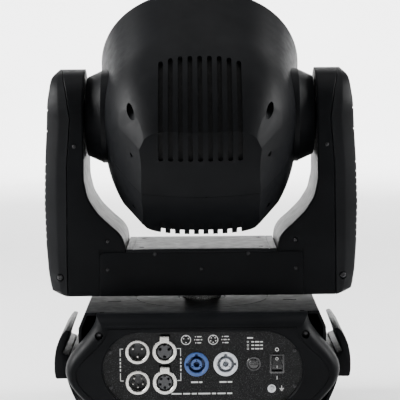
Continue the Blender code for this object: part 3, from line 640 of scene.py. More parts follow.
END_TOP_X = 106.0
END_MID_X = END_X
BODY_TOP_X = 118.0
BODY_MID_X = 138.5
SHOULDER_Y = 18.0
SHOULDER_Z = 14.0
RIM_X = 8.0
PANEL_HALF = 100.0
PANEL_R = 38.0
PANEL_Z = 59.5 + FLOOR_GAP
FACE = PANEL_Y                # outer face of the two panel plates
BASE_DROP = DECK - FLOOR_GAP
PANEL_SCREWS = [(x, z + PANEL_Z) for x in (-92, 92) for z in (-18, 18)]
END_SCREWS = [(x, 94 + FLOOR_GAP) for x in (-103, 103)]
GRIP_SCREWS = [(y, 50 + FLOOR_GAP) for y in (-53, 53)]
FINGER_LOW = 62.0 + FLOOR_GAP
FINGER_HIGH = 90.0 + FLOOR_GAP


def waist_share(z):
    return 1 - abs(z - WAIST) / (BASE_DROP / 2)


def end_width(z):
    return END_TOP_X + (END_MID_X - END_TOP_X) * (1 - cos(pi * waist_share(z))) / 2


def body_width(z):
    t = waist_share(z)
    return BODY_TOP_X + (BODY_MID_X - BODY_TOP_X) * (t + t * t - t ** 3)


def end_ring(y, drop, pull, lift=0.0, steps=36):
    """One section of an end shell, `drop` below the deck, `lift` above the underside."""
    side = []
    for i in range(steps + 1):
        even = FLOOR_GAP + BASE_DROP * i / steps
        z = FLOOR_GAP + lift + (BASE_DROP - drop - lift) * i / steps
        side.append((end_width(even) - pull, z))
    return [(x, y, z) for x, z in side + [(-x, z) for x, z in reversed(side)]]


def end_shell():
    """An end of the base, facing -Y: rounded shoulder, rim groove, panel recess, screw wells."""
    near = BODY_Y + GAP
    rings = [end_ring(-near, 0.5, 0.5, 0.5), end_ring(-near - 0.5, 0, 0)]
    for share in (0.0, 0.15, 0.3, 0.45, 0.6, 0.72, 0.83, 0.92, 1.0):
        turn = share * pi / 2
        fall = 1 - cos(turn)
        rings.append(end_ring(-(END_Y - SHOULDER_Y + SHOULDER_Y * sin(turn)), SHOULDER_Z * fall,
                              RIM_X * fall, RIM_X * fall / 2))
    shell = loft(rings)
    hollow = loft([end_ring(-near + 5, WALL, WALL, WALL),
                   end_ring(-(END_Y - SHOULDER_Y), WALL, WALL, WALL),
                   end_ring(-FACE + 2.6, 3 * WALL, RIM_X - 1, RIM_X - 1)])
    window = loft([[(x, y, z) for x, z in stadium(0, PANEL_Z, PANEL_HALF + grow, PANEL_R + grow)]
                   for y, grow in ((-END_Y - 4, 4.2), (-END_Y + 1.6, -0.2), (-END_Y + 12, -0.2))])
    outer = [(x, z) for x, _, z in end_ring(0, SHOULDER_Z * 0.86, RIM_X + 3.2, RIM_X * 0.8)]
    inner = [(x, z) for x, _, z in end_ring(0, SHOULDER_Z * 0.86 + 1.3, RIM_X + 4.5, RIM_X * 0.8 + 1.3)]
    groove = combine(prism(outer, -END_Y - 3, -END_Y + 0.9, "Y"),
                     prism(inner, -END_Y - 4, -END_Y + 4, "Y"), "DIFFERENCE")
    wells = [turned([(0, -130), (5.2, -130), (4.1, -END_Y + 1.2), (3.9, -END_Y + 7.5),
                     (0, -END_Y + 7.5)],
                    "Y", 28, (x, 0, z)) for x, z in END_SCREWS]
    vents = [prism(rounded(x - 1.6, FLOOR_GAP - 4, x + 1.6, FLOOR_GAP + 9, 1.5), -END_Y - 5,
                   -END_Y + 14, "Y")
             for x in (-28, -20, -12, -4, 4, 12, 20, 28)]
    return cut(shell, hollow, window, groove, gathered(*wells), gathered(*vents))


def flank_outline(inset=0.0, low_z=0.0, high_z=0.0):
    bottom = FLOOR_GAP + low_z
    top = DECK - high_z
    levels = [bottom + (FINGER_LOW - inset - bottom) * i / 16 for i in range(17)]
    side = [(body_width(z) - inset, z) for z in levels]
    side += [(125 - inset, FINGER_LOW - inset + 1.5), (125 - inset, FINGER_HIGH)]
    side += [(body_width(z) - inset, z) for z in (98.0 + FLOOR_GAP, 102.0 + FLOOR_GAP,
                                                  106.0 + FLOOR_GAP)]
    side += [(body_width(top) - inset, top)]
    return side + [(-x, z) for x, z in reversed(side)]


def middle_housing(shaft_r):
    shell = prism(flank_outline(), -BODY_Y, BODY_Y, "Y")
    inside = prism(flank_outline(WALL, WALL, WALL), -END_Y, END_Y, "Y")
    floor = block(-96, -BODY_Y + 10, FLOOR_GAP - 5, 96, BODY_Y - 10, FLOOR_GAP + 2 * WALL)
    way = turned([(0, DECK - 20), (shaft_r, DECK - 20), (shaft_r, DECK + 9), (0, DECK + 9)], "Z", 64)
    rings = [turned([(r - 0.6, DECK - 0.9), (r + 0.6, DECK - 0.9), (r + 0.6, DECK + 2),
                     (r - 0.6, DECK + 2)],
                    "Z", 64) for r in (shaft_r + 4, 70)]
    slits = [prism(stadium(x, y, 7.5, 1.7, 10), DECK - 8, DECK + 2) for x in (-92, 92) for y in (-25,
                                                                                                 25)]
    notches = [prism([(x - 3.5, DECK - 1.3), (x + 3.5, DECK - 1.3), (x, DECK + 2.4)],
                     y - 2.2, y + 2.2, "Y") for x in (-101, 101) for y in (-BODY_Y, BODY_Y)]
    gills = [block(side * 129 - 6, y - 1.3, FLOOR_GAP + 14, side * 129 + 6, y + 1.3, FLOOR_GAP + 32)
             for side in (-1, 1) for y in (-80, -74, -68, 68, 74, 80)]
    return cut(shell, inside, floor, way, *rings, gathered(*slits), gathered(*notches),
               gathered(*gills))


def grip_handle(side):
    """A side rail with rounded edges and a row of finger ribs in its pocket."""
    outer = [(150.6, 38.9), (152.3, 40.2), (153.2, 47), (153.2, 56), (152.4, 64), (150.8, 72),
             (147.8, 80), (143.6, 86.6), (141.4, 89.2), (140.2, 89.7), (138.6, 89.4)]
    pocket = [(136.4, 88.6), (139.2, 81), (142.6, 72), (144.4, 65.4)]
    flank = [(body_width(z + FLOOR_GAP) + GAP, z) for z in (63.4, 60.0, 56.0, 50.0, 44.0, 39.2)]
    outline = [(side * x, z + FLOOR_GAP) for x, z in outer + pocket + flank]
    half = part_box("handle_right")[1].y / MM
    rail = eased_edges(prism(outline, -half, half, "Y"), 0.9, 40)
    grooves = [prism(stadium(y, 53 + FLOOR_GAP, 1.1, 1.0, 8), side * 152.4, side * 160, "X")
               for y in range(-42, 43, 7)]
    wells = [turned([(0, side * 148), (3.4, side * 148), (3.4, side * 160), (0, side * 160)], "X", 24,
                    (0, y, z)) for y, z in GRIP_SCREWS]
    return cut(rail, gathered(*grooves), gathered(*wells))


def rubber_foot(node):
    spot = centre(node)
    top = high(node).z
    return turned([(0, 0.8), (4.2, 0.8), (5.0, 0.0), (9.6, 0.0), (10.4, 0.6), (11.4, 2.2), (11.5, 3.4),
                   (10.9, 4.2), (10.7, 5.4), (11.0, 6.2), (10.4, top - 1.2), (9.8, top), (0, top)],
                  "Z", 48, (spot.x, spot.y, 0))


class LIGHT_OT_base(bpy.types.Operator):
    """Casings of the base: middle housing, end shells, handles, feet and screws"""
    bl_idname = "light.base"
    bl_label = "Base"

    def execute(self, context):
        shaft_r = high("pan_shaft").x + 2
        show("base_casing", middle_housing(shaft_r), "base", finish("casing"),
             ["base_housing"], 28)
        show("base_rear_shell", end_shell(), "base", finish("casing"),
             ["rear_shell"], 28)
        show("base_front_shell", spun(end_shell(), pi, "Z"), "base", finish("casing"),
             ["front_shell"], 28)
        for name, side in (("left", -1), ("right", 1)):
            show(f"grip_{name}", grip_handle(side), "base", finish("casing"),
                 [f"handle_{name}"])
        for i in range(1, 5):
            show(f"rubber_foot_{i}", rubber_foot(f"foot_{i}"), "base", finish("rubber"),
                 [f"foot_{i}"], 40)
        end_spots = [(x, -END_Y + 6.9, z) for x, z in END_SCREWS]
        heads = screw_heads(end_spots, 3.3, "Y", -1)
        far = spun(screw_heads(end_spots, 3.3, "Y", -1), pi, "Z")
        grips = [screw_heads([(side * 148.4, y, z) for y, z in GRIP_SCREWS], 2.7, "X", side)
                 for side in (-1, 1)]
        show("base_screws", gathered(heads, far, *grips), "base", finish("screw"))
        deck_ring = turned([(shaft_r - 1.3, DECK - 3.2), (shaft_r - 0.2, DECK - 3.2),
                            (shaft_r - 0.2, DECK - 0.4), (shaft_r - 0.7, DECK - 0.1),
                            (shaft_r - 1.3, DECK - 0.4)], "Z", 64)
        show("deck_seal", deck_ring, "base", finish("rubber"))
        return {"FINISHED"}


# -------------------------------------------------------- rear panel

DATA_X = (centre("data_inlet_3pin").x, centre("data_outlet_3pin").x)
DATA_Z = (centre("data_inlet_3pin").z, centre("data_inlet_5pin").z)
POWER_X = (centre("power_inlet").x, centre("power_outlet").x)
POWER_Z = centre("power_inlet").z
FUSE_X = centre("fuse_holder").x
SWITCH_X = centre("switch_bezel").x
SOCKET_R = 12.2
PIN_RING = 5.2
INK_BACK = -FACE + 0.02
INK_FACE = -FACE - 0.09


def panel_bore(x, z, r, steps=48):
    return turned([(0, -FACE - 5), (r, -FACE - 5), (r, -FACE + 5), (0, -FACE + 5)], "Y", steps,
                  (x, 0, z))


def panel_sheet(*holes):
    plate = prism(stadium(0, PANEL_Z, PANEL_HALF + 4, PANEL_R + 4, 36), -FACE, -FACE + 1.5, "Y")
    return cut(plate, gathered(*holes))


def connector_sheet():
    holes = [panel_bore(x, z, SOCKET_R - 0.7) for x in DATA_X for z in DATA_Z]
    holes += [panel_bore(x, POWER_Z, SOCKET_R - 0.7) for x in POWER_X]
    holes += [panel_bore(FUSE_X, POWER_Z, 6.8)]
    holes += [prism(rounded(SWITCH_X - 6.8, POWER_Z - 9.2, SWITCH_X + 6.8, POWER_Z + 9.2, 0.6),
                    -FACE - 5, -FACE + 5, "Y")]
    sheet = panel_sheet(*holes)
    tabs = [block(DATA_X[1] - 5.6, -FACE - 5, z + 9, DATA_X[1] + 5.6, -FACE + 5, z + 17.6)
            for z in DATA_Z]
    return cut(sheet, gathered(*tabs))


def flat_ring(r, width, x, z, steps=36):
    return turned([(r - width, INK_BACK), (r, INK_BACK), (r, INK_FACE), (r - width, INK_FACE)], "Y",
                  steps, (x, 0, z))


def ink_bar(x0, z0, x1, z1):
    return block(min(x0, x1), INK_FACE, min(z0, z1), max(x0, x1), INK_BACK, max(z0, z1))


def ink_dot(x, z, r):
    return turned([(0, INK_BACK), (r, INK_BACK), (r, INK_FACE), (0, INK_FACE)], "Y", 16, (x, 0, z))


def ink_dashes(x, z, widths, height=1.0, gap=1.1):
    """A row of plain dashes standing where small print would be, centred on x."""
    total = sum(widths) + gap * (len(widths) - 1)
    left = x - total / 2
    bars = []
    for width in widths:
        bars.append(ink_bar(left, z - height / 2, left + width, z + height / 2))
        left += width + gap
    return bars


def printed_marks():
    """White marks: brackets beside the data sockets, pin plans, dashes, O and I."""
    line = 0.7
    marks = []
    z_high = DATA_Z[0] + 3.5
    z_low = DATA_Z[1] + 1.5
    for x, side in ((DATA_X[0] - 17.6, 1), (DATA_X[1] + 15.6, -1)):
        middle = (z_high + z_low) / 2
        marks += [ink_bar(x, z_low, x + line, middle - 8.5), ink_bar(x, middle + 8.5, x + line, z_high)]
        marks += [ink_bar(x, z, x + side * 3.4, z + line) for z in (z_low, z_high - line)]
        for k in (-5.4, -1.8, 1.8, 5.4):
            marks.append(ink_bar(x - 0.15, middle + k - 1.1, x + 0.95, middle + k + 1.1))
    plan_z = PANEL_Z + 29.5
    for x, pins in ((-16.3, 3), (10.8, 5)):
        marks.append(flat_ring(5.0, 0.7, x, plan_z))
        reach = 240 if pins == 3 else 270
        for i in range(pins):
            angle = radians(-90 - reach / 2 + reach * i / (pins - 1))
            marks.append(ink_dot(x + 2.7 * cos(angle), plan_z + 2.7 * sin(angle), 0.62))
        marks.append(ink_bar(x - 0.8, plan_z + 3.5, x + 0.8, plan_z + 4.5))
        for row, widths in enumerate(((1.0, 4.4), (1.0, 3.2, 1.6), (1.0, 3.8))):
            marks += ink_dashes(x + 12.2, plan_z + 3.2 - 3.1 * row, widths)
    for x, widths in ((POWER_X[0], (7.0, 3.0)), (POWER_X[1], (7.0, 4.4))):
        marks += ink_dashes(x, POWER_Z - 18.2, widths, 1.5)
    marks += ink_dashes(FUSE_X - 3.5, PANEL_Z + 31, (6.0,), 1.4)
    for row in range(3):
        z = PANEL_Z + 27 - 3.5 * row
        left = FUSE_X - 6.6
        marks += [ink_bar(left, z - 0.9, left + 1.8, z - 0.6), ink_bar(left, z + 0.6, left + 1.8,
                                                                       z + 0.9),
                  ink_bar(left, z - 0.6, left + 0.3, z + 0.6), ink_bar(left + 1.5, z - 0.6, left + 1.8,
                                                                       z + 0.6)]
        marks += ink_dashes(FUSE_X + 3.5, z, (2.6, 4.2, 2.6), 1.2, 1.0)
    marks += ink_dashes(-1.0, PANEL_Z - 25, (10, 7, 5, 12, 4, 8, 5), 1.4, 1.6)
    marks += [flat_ring(1.9, 0.6, SWITCH_X, POWER_Z + 14.2),
              ink_bar(SWITCH_X - 0.35, POWER_Z - 16.2, SWITCH_X + 0.35, POWER_Z - 12.6)]
    ground_x = SWITCH_X + 4.6
    ground_z = POWER_Z - 25.5
    marks.append(ink_bar(ground_x - 0.3, ground_z + 0.5, ground_x + 0.3, ground_z + 3.0))
    for k, half in enumerate((2.2, 1.5, 0.8)):
        z = ground_z + 0.2 - 1.1 * k
        marks.append(ink_bar(ground_x - half, z - 0.28, ground_x + half, z + 0.28))
    return gathered(*marks)


def pin_spots(count):
    reach = 240 if count == 3 else 270
    for i in range(count):
        angle = radians(-90 - reach / 2 + reach * i / (count - 1))
        yield PIN_RING * cos(angle), PIN_RING * sin(angle)


def socket_ring(bore_r, depth):
    """The plated collar and barrel of a round socket."""
    return turned([(bore_r, -FACE - 1.0), (bore_r + 0.5, -FACE - 1.5), (SOCKET_R - 1.1, -FACE - 1.6),
                   (SOCKET_R - 0.4, -FACE - 1.4), (SOCKET_R, -FACE - 0.9), (SOCKET_R, -FACE - 0.05),
                   (SOCKET_R - 1.2, -FACE - 0.05), (SOCKET_R - 1.2, -FACE + depth),
                   (bore_r, -FACE + depth)], "Y", 64)


def key_block(depth):
    """The moulded key at the top of a socket's mouth."""
    return block(-1.7, -FACE - 0.7, 7.2, 1.7, -FACE + depth, 9.3)


def male_socket(x, z, count):
    ring = moved(socket_ring(9.2, 18), (x, 0, z))
    floor = turned([(0, -FACE + 13.5), (9.0, -FACE + 13.5), (9.0, -FACE + 18), (0, -FACE + 18)], "Y",
                   48)
    insert = moved(gathered(floor, key_block(13)), (x, 0, z))
    pins = []
    r = 1.25 if count == 3 else 0.95
    for px, pz in pin_spots(count):
        pins.append(turned([(0, -FACE + 1.6), (r * 0.55, -FACE + 1.6), (r, -FACE + 2.6),
                            (r, -FACE + 14), (0, -FACE + 14)], "Y", 20, (x + px, 0, z + pz)))
    return ring, insert, gathered(*pins)


def female_socket(x, z, count):
    ring = moved(socket_ring(8.8, 20), (x, 0, z))
    core = turned([(0, -FACE - 0.3), (6.9, -FACE - 0.3), (7.3, -FACE + 0.1), (7.3, -FACE + 12),
                   (8.7, -FACE + 12), (8.7, -FACE + 16), (0, -FACE + 16)], "Y", 48)
    r = 1.45 if count == 3 else 1.15
    holes = [turned([(0, -FACE - 3), (r + 0.35, -FACE - 3), (r + 0.35, -FACE + 0.1), (r, -FACE + 0.45),
                     (r, -FACE + 9), (0, -FACE + 9)], "Y", 20, (px, 0, pz)) for px,
             pz in pin_spots(count)]
    keyway = block(-1.3, -FACE - 3, 5.9, 1.3, -FACE + 9, 9)
    return ring, moved(cut(core, gathered(*holes), keyway), (x, 0, z))


def push_tab(x, z):
    """The release tab over a female socket, with grip ridges."""
    tab = eased_edges(block(-4.6, -FACE - 2.3, 9.5, 4.6, -FACE + 4, 15.8), 0.5)
    ridges = [block(-3.4, -FACE - 2.6, 10.6 + 1.4 * i, 3.4, -FACE - 2.1, 11.2 + 1.4 * i)
              for i in range(3)]
    return moved(gathered(tab, *ridges), (x, 0, z))


def power_socket(x, side):
    """A round locking power socket: keyed mouth, centre post with three blades."""
    shell = turned([(0, -FACE - 1.2), (8.9, -FACE - 1.2), (9.3, -FACE - 1.6), (SOCKET_R - 0.9,
                                                                               -FACE - 1.6),
                    (SOCKET_R - 0.2, -FACE - 1.2), (SOCKET_R, -FACE - 0.7), (SOCKET_R, -FACE - 0.05),
                    (SOCKET_R - 1.2, -FACE - 0.05), (SOCKET_R - 1.2, -FACE + 22), (0, -FACE + 22)], "Y",
                   64)
    moat = turned([(5.5, -FACE - 4), (8.6, -FACE - 4), (8.6, -FACE + 12), (5.5, -FACE + 12)], "Y", 48)
    eye = turned([(0, -FACE - 4), (3.0, -FACE - 4), (3.0, -FACE + 9), (0, -FACE + 9)], "Y", 32)
    shell = cut(shell, moat, eye)
    keys = [block(-1.6, -FACE - 4, 8.2, 1.6, -FACE + 8, 10.6)]
    x0, x1 = sorted((side * 8.2, side * 10.6))
    keys.append(block(x0, -FACE - 4, -1.6, x1, -FACE + 8, 1.6))
    for turn in (pi / 2, pi * 7 / 6, pi * 11 / 6):
        keys.append(spun(block(3.7, -FACE - 3, -0.45, 5.0, -FACE + 6, 0.45), -turn, "Y"))
    return moved(cut(shell, *keys), (x, 0, POWER_Z))


def rocker():
    """A paddle with a shallow V face, worked from the frame's pin and lean."""
    side = [(-6.4, -3.9), (-5.9, -4.1), (0, -3.4), (5.9, -4.1), (6.4, -3.9), (5.7, 2.5), (0, 4.5),
            (-5.7, 2.5)]
    paddle = eased_edges(loft([[(x, y, z) for z, y in side] for x in (-4.95, 4.95)]), 0.35)
    return paddle


def rocker_marks():
    upper = turned([(1.0, -0.2), (1.5, -0.2), (1.5, 0.12), (1.0, 0.12)], "Y", 24, (0, -3.95, 4.0))
    lower = block(-0.25, -4.06, -5.2, 0.25, -3.7, -2.9)
    return gathered(upper, lower)


class LIGHT_OT_rear_panel(bpy.types.Operator):
    """Connector plate with its printed marks and screws"""
    bl_idname = "light.rear_panel"
    bl_label = "Rear panel"

    def execute(self, context):
        show("connector_plate", connector_sheet(), "base", finish("plate"),
             ["rear_panel"])
        show("panel_marks", printed_marks(), "base", finish("ink"))
        spots = [(x, -FACE, z) for x, z in PANEL_SCREWS]
        show("plate_screws", screw_heads(spots, 2.0, "Y", -1), "base", finish("screw"))
        ground = screw_heads([(SWITCH_X - 5.4, -FACE, POWER_Z - 25.3)], 3.0, "Y", -1)
        washer = turned([(1.5, -FACE - 0.7), (4.1, -FACE - 0.7), (4.1, -FACE), (1.5, -FACE)], "Y", 36,
                        (SWITCH_X - 5.4, 0, POWER_Z - 25.3))
        show("ground_screw", gathered(ground, washer), "base", finish("zinc"))
        return {"FINISHED"}


class LIGHT_OT_sockets(bpy.types.Operator):
    """Data sockets with their pins and release tabs, and the two power sockets"""
    bl_idname = "light.sockets"
    bl_label = "Sockets"

    def execute(self, context):
        for count, z in ((3, DATA_Z[0]), (5, DATA_Z[1])):
            node = f"data_inlet_{count}pin"
            ring, insert, pins = male_socket(DATA_X[0], z, count)
            show(f"inlet_ring_{count}pin", ring, "base", finish("nickel"), [node])
            show(f"inlet_core_{count}pin", insert, "base", finish("insert"))
            show(f"inlet_pins_{count}pin", pins, "base", finish("nickel"))
            node = f"data_outlet_{count}pin"
            ring, core = female_socket(DATA_X[1], z, count)
            show(f"outlet_ring_{count}pin", ring, "base", finish("nickel"), [node])
            show(f"outlet_core_{count}pin", core, "base", finish("insert"))
            latch = f"outlet_latch_{count}pin"
            show(f"push_tab_{count}pin", push_tab(DATA_X[1], z), latch, finish("nickel"),
                 [latch])
        show("inlet_socket", power_socket(POWER_X[0], -1), "base", finish("blue"),
             ["power_inlet"])
        show("outlet_socket", power_socket(POWER_X[1], 1), "base", finish("white"),
             ["power_outlet"])
        return {"FINISHED"}


class LIGHT_OT_fuse_and_switch(bpy.types.Operator):
    """Fuse holder with its slotted cap, and the rocker switch"""
    bl_idname = "light.fuse_and_switch"
    bl_label = "Fuse and switch"

    def execute(self, context):
        holder = turned([(5.2, -FACE - 0.9), (5.6, -FACE - 1.4), (6.9, -FACE - 1.5),
                         (7.35, -FACE - 1.0),
                         (7.35, -FACE - 0.05), (6.4, -FACE - 0.05), (6.4, -FACE + 20),
                         (5.2, -FACE + 20)],
                        "Y", 48, (FUSE_X, 0, POWER_Z))
        show("fuse_collar", holder, "base", finish("gloss"), ["fuse_holder"])
        cap = turned([(0, -FACE - 2.4), (3.9, -FACE - 2.4), (4.5, -FACE - 2.1), (4.9, -FACE - 1.5),
                      (4.9, -FACE + 11), (0, -FACE + 11)], "Y", 48)
        slots = combine(block(-3.5, -FACE - 4, -0.6, 3.5, -FACE - 1.2, 0.6),
                        block(-0.6, -FACE - 4, -3.5, 0.6, -FACE - 1.2, 3.5), "UNION")
        show("fuse_plug", moved(cut(cap, slots), (FUSE_X, 0, POWER_Z)), "fuse_cap", finish("gloss"),
             ["fuse_cap"])
        flange = prism(rounded(-7.3, -9.9, 7.3, 9.9, 1.2), -FACE - 1.5, -FACE - 0.05, "Y")
        frame_block = prism(rounded(-6.4, -8.8, 6.4, 8.8, 0.6), -FACE - 1, -FACE + 15, "Y")
        well = loft([[(x, y, z) for x, z in rounded(-5.3 - g, -7.7 - g, 5.3 + g, 7.7 + g, 0.5 + g)]
                     for y, g in ((-FACE - 1.9, 0.7), (-FACE - 1.0, 0.0), (-FACE + 12, 0.0))])
        surround = cut(join(eased_edges(flange, 0.35), frame_block), well)
        show("switch_surround", moved(surround, (SWITCH_X, 0, POWER_Z)), "base", finish("gloss"),
             ["switch_bezel"])
        pin = Vector(JOINTS["power_switch"]["pos_m"]) / MM
        lean = Matrix.Translation(pin) @ Matrix.Rotation(radians(-12), 4, "X")
        show("rocker_paddle", rocker(), "switch_rocker", finish("gloss"),
             ["switch_rocker"], turn=lean)
        show("rocker_marks", rocker_marks(), "switch_rocker", finish("ink"), turn=lean)
        return {"FINISHED"}


# -------------------------------------------------------- front panel

SCREEN_X = 29.0               # seen from +Y the display stands left of the buttons
MENU_NAMES = ("menu_button_1", "menu_button_2", "menu_button_3", "menu_button_4")


class LIGHT_OT_front_panel(bpy.types.Operator):
    """Menu plate with its display window, four buttons and their marks"""
    bl_idname = "light.front_panel"
    bl_label = "Front panel"

    def execute(self, context):
        half_turn = Matrix.Rotation(pi, 4, "Z")
        x0, x1, z0, z1 = -SCREEN_X - 33, -SCREEN_X + 33, PANEL_Z - 18, PANEL_Z + 18
        keys = [(-centre(node).x, centre(node).z) for node in MENU_NAMES]
        holes = [panel_bore(x, z, 4.4) for x, z in keys]
        recess = loft([[(x, y, z) for x, z in rounded(x0 - g, z0 - g, x1 + g, z1 + g, 2.0 + g)]
                       for y, g in ((-FACE - 1, 0.9), (-FACE + 0.25, 0.0), (-FACE + 0.8, 0.0))])
        show("menu_plate", panel_sheet(recess, *holes), "base", finish("plate"),
             ["front_panel"], turn=half_turn)
        glass = eased_edges(prism(rounded(x0 + 0.3, z0 + 0.3, x1 - 0.3, z1 - 0.3, 1.8),
                                  -FACE + 0.1, -FACE + 0.79, "Y"), 0.2)
        show("display", glass, "base", finish("screen"), turn=half_turn)
        marks = []
        for x, z in keys:
            marks.append(flat_ring(6.3, 0.45, x, z, 48))
        for (x, z), points in zip(keys, ((3, 90), (3, -90), (4, 45), (3, 0))):
            corners, turn = points
            sign = [(1.6 * cos(radians(turn) + 2 * pi * i / corners),
                     1.6 * sin(radians(turn) + 2 * pi * i / corners)) for i in range(corners)]
            marks.append(moved(prism(sign, INK_FACE, INK_BACK, "Y"), (x, 0, z + 10.5)))
        show("menu_marks", gathered(*marks), "base", finish("ink"), turn=half_turn)
        spots = [(x, -FACE, z) for x, z in PANEL_SCREWS]
        show("menu_screws", screw_heads(spots, 2.0, "Y", -1), "base", finish("screw"),
             turn=half_turn)
        for node, (x, z) in zip(MENU_NAMES, keys):
            button = turned([(0, -FACE - 1.5), (1.8, -FACE - 1.55), (3.0, -FACE - 1.8),
                             (3.6, -FACE - 1.6),
                             (4.0, -FACE - 1.1), (4.0, -FACE + 4.8), (0, -FACE + 4.8)], "Y", 40,
                            (x, 0, z))
            show(f"key_{node[-1]}", button, node, finish("button"), [node],
                 turn=half_turn)
        return {"FINISHED"}


# ----------------------------------------------------------------- yoke

# Arm sections against height, measured from the tilt axis
ARM_INNER = [(-183.0, 78.3), (-133.0, 78.3), (-123.6, 80.0), (-115.6, 85.6), (-109.4, 93.5),
             (-96.0, 107.0), (-81.5, 116.0), (-64.0, 119.9), (-57.0, 120.0), (50.0, 120.0)]
ARM_EDGE = [(-183.0, 138.0), (-140.0, 138.0), (-47.0, 137.0), (-22.0, 135.0), (0.0, 133.5),
            (28.0, 138.0), (48.0, 143.0), (50.0, 143.0)]
COVER_SIDE = [(-183.0, 144.5), (-179.0, 155.5), (-158.0, 158.8), (-130.0, 160.7),
              (-90.0, 161.8), (-47.0, 160.7), (-12.0, 158.8), (16.5, 157.8), (38.0, 155.0),
              (43.0, 153.2), (48.0, 148.0), (50.0, 145.5)]
ARM_LOW = YOKE_LOW - TILT.z
FRAME_SCREWS = ((96.5, 193.0), (129.5, 291.0))
COVER_SCREW = (146.0, 155.5)
PLATE_SCREWS = ((-48.0, 179.5), (48.0, 179.5), (0.0, 163.5), (-97.0, 163.5), (97.0, 163.5))


def arm_depth(z, trim=0.0):
    """Half depth of an arm: straight, then drawn in to a round top."""
    if z <= -60:
        return YOKE_Y - trim
    if z <= 0:
        return ARM_TOP_R - (YOKE_Y - ARM_TOP_R) * z / 60 - trim
    return sqrt(max(0.0, (ARM_TOP_R - trim) ** 2 - z * z))


def arm_levels(low_z, top):
    straight = [low_z, low_z + 1.2]
    z = -178.0
    while z < 0:
        if z > low_z + 2:
            straight.append(z)
        z += 3.0 if -140 < z < -56 else 6.0
    return straight + [top * sin(radians(4.5 * i)) for i in range(0, 20)]


def stack(side, levels, section):
    return loft([[(side * x, y, TILT.z + z) for x, y in section(z)] for z in levels])


def lip(z, low_z, reach=1.2):
    """How far an edge pulls in just above a bottom edge, to round it."""
    rise = min(1.0, max(0.0, (z - low_z) / reach))
    return reach * (1 - sqrt(1 - (1 - rise) ** 2))


def arm_section(z):
    """The frame's outline: soft corners on its inner edges, a rebate lip on the outer."""
    inner = eased(ARM_INNER, z, 3.0)
    outer = reading(ARM_EDGE, z)
    d = arm_depth(z) - lip(z, ARM_LOW)
    r = min(2.6, 0.3 * d)
    if d < 0.5:
        return [(inner + (outer - inner) * t / 9, -d * 0.9) for t in range(10)] + [
            (outer - (outer - inner) * t / 9, d * 0.9) for t in range(10)]
    turns = [pi / 2 * k / 7 for k in range(7, -1, -1)]
    half = [(outer, -d + 0.7), (outer - 0.7, -d)]
    half += [(inner + r - r * cos(a), -d + r - r * sin(a)) for a in turns]
    return half + [(x, -y) for x, y in reversed(half)]


def arm_frame(side):
    body = stack(side, arm_levels(ARM_LOW, ARM_TOP_R), arm_section)

    def hollow(z):
        x0 = reading(ARM_INNER, z) + WALL
        x1 = reading(ARM_EDGE, z) + 9
        d = arm_depth(z, WALL)
        return [(x0, -d), (x1, -d), (x1, d), (x0, d)]

    room = stack(side, [ARM_LOW + WALL, -140, -123, -109, -96, -81, -64, -47, -22, 0, 14, 28, 40, 46],
                 hollow)
    shaft = turned([(0, side * 100), (14.3, side * 100), (14.3, side * 130), (0, side * 130)], "X", 48,
                   (0, 0, TILT.z))
    body = cut(body, room)
    rebates = []
    for face in (-1, 1):
        x0, x1 = sorted((side * 60, side * (PLATE_X + GAP)))
        y0, y1 = sorted((face * (YOKE_Y - 1.2 - GAP), face * (YOKE_Y + 5)))
        rebates.append(block(x0, y0, YOKE_LOW - 2, x1, y1, BAR_TOP + GAP))
    wells = [well_y(side * x, face, z, 2.6, 3.0) for face in (-1, 1) for x, z in FRAME_SCREWS]
    return cut(body, shaft, gathered(*rebates), gathered(*wells))


def well_y(x, face, z, r, depth, surface=YOKE_Y):
    """A screw well bored into a face square to Y."""
    return turned([(0, face * (surface + 4)), (r, face * (surface + 4)), (r, face * (surface - depth)),
                   (0, face * (surface - depth))], "Y", 24, (x, 0, z))


def arm_cover(side, pitch):
    def solid(z):
        near = reading(ARM_EDGE, z) + GAP
        pull = lip(z, ARM_LOW, 2.0)
        far = eased(COVER_SIDE, z, 2.0) - pull
        ridge = near + 0.42 * (far - near)
        d = arm_depth(z) - 0.6 * pull
        soft = 0.25 * (far - ridge)
        half = [(near, d - 0.8), (near + 0.7, d), (ridge - soft * 0.6, 0.962 * d), (ridge, 0.952 * d),
                (ridge + soft * 0.6, 0.936 * d), (far - soft * 0.7, 0.80 * d), (far - 0.22 * soft,
                                                                                0.772 * d),
                (far, 0.745 * d), (far, 0.25 * d)]
        return [(x, -y) for x, y in half] + list(reversed(half))

    def hollow(z):
        x0 = reading(ARM_EDGE, z) - 2
        x1 = reading(COVER_SIDE, z) - 3.8
        d = 0.70 * arm_depth(z)
        return [(x0, -d), (x1, -d), (x1, d), (x0, d)]

    body = stack(side, arm_levels(ARM_LOW, ARM_TOP_R), solid)
    room = stack(side, [ARM_LOW + 5, -170, -130, -90, -47, -12, 14, 28, 38, 43], hollow)
    body = cut(body, room)
    heights = [-13.0, -47.0] + [-50 - pitch * (i + 1) for i in range(int(78 / pitch))] + [8.5]
    grooves = []
    for z in heights:
        far = reading(COVER_SIDE, z)
        x0, x1 = sorted((side * (far - 1.1), side * (far + 5)))
        grooves.append(block(x0, -60, TILT.z + z - 0.75, x1, 60, TILT.z + z + 0.75))
    rails = []
    for face in (-1, 1):
        outline = [(face * y, TILT.z + z) for z in (-166.0, -150.0) for y in (8, 30)]
        rails.append(prism([outline[0], outline[1], outline[3], outline[2]], side * 157.5, side * 170,
                           "X"))
    x, z = COVER_SCREW
    wells = [well_y(side * x, face, z, 4.1, 6.0) for face in (-1, 1)]
    return cut(body, gathered(*grooves), gathered(*rails), gathered(*wells))


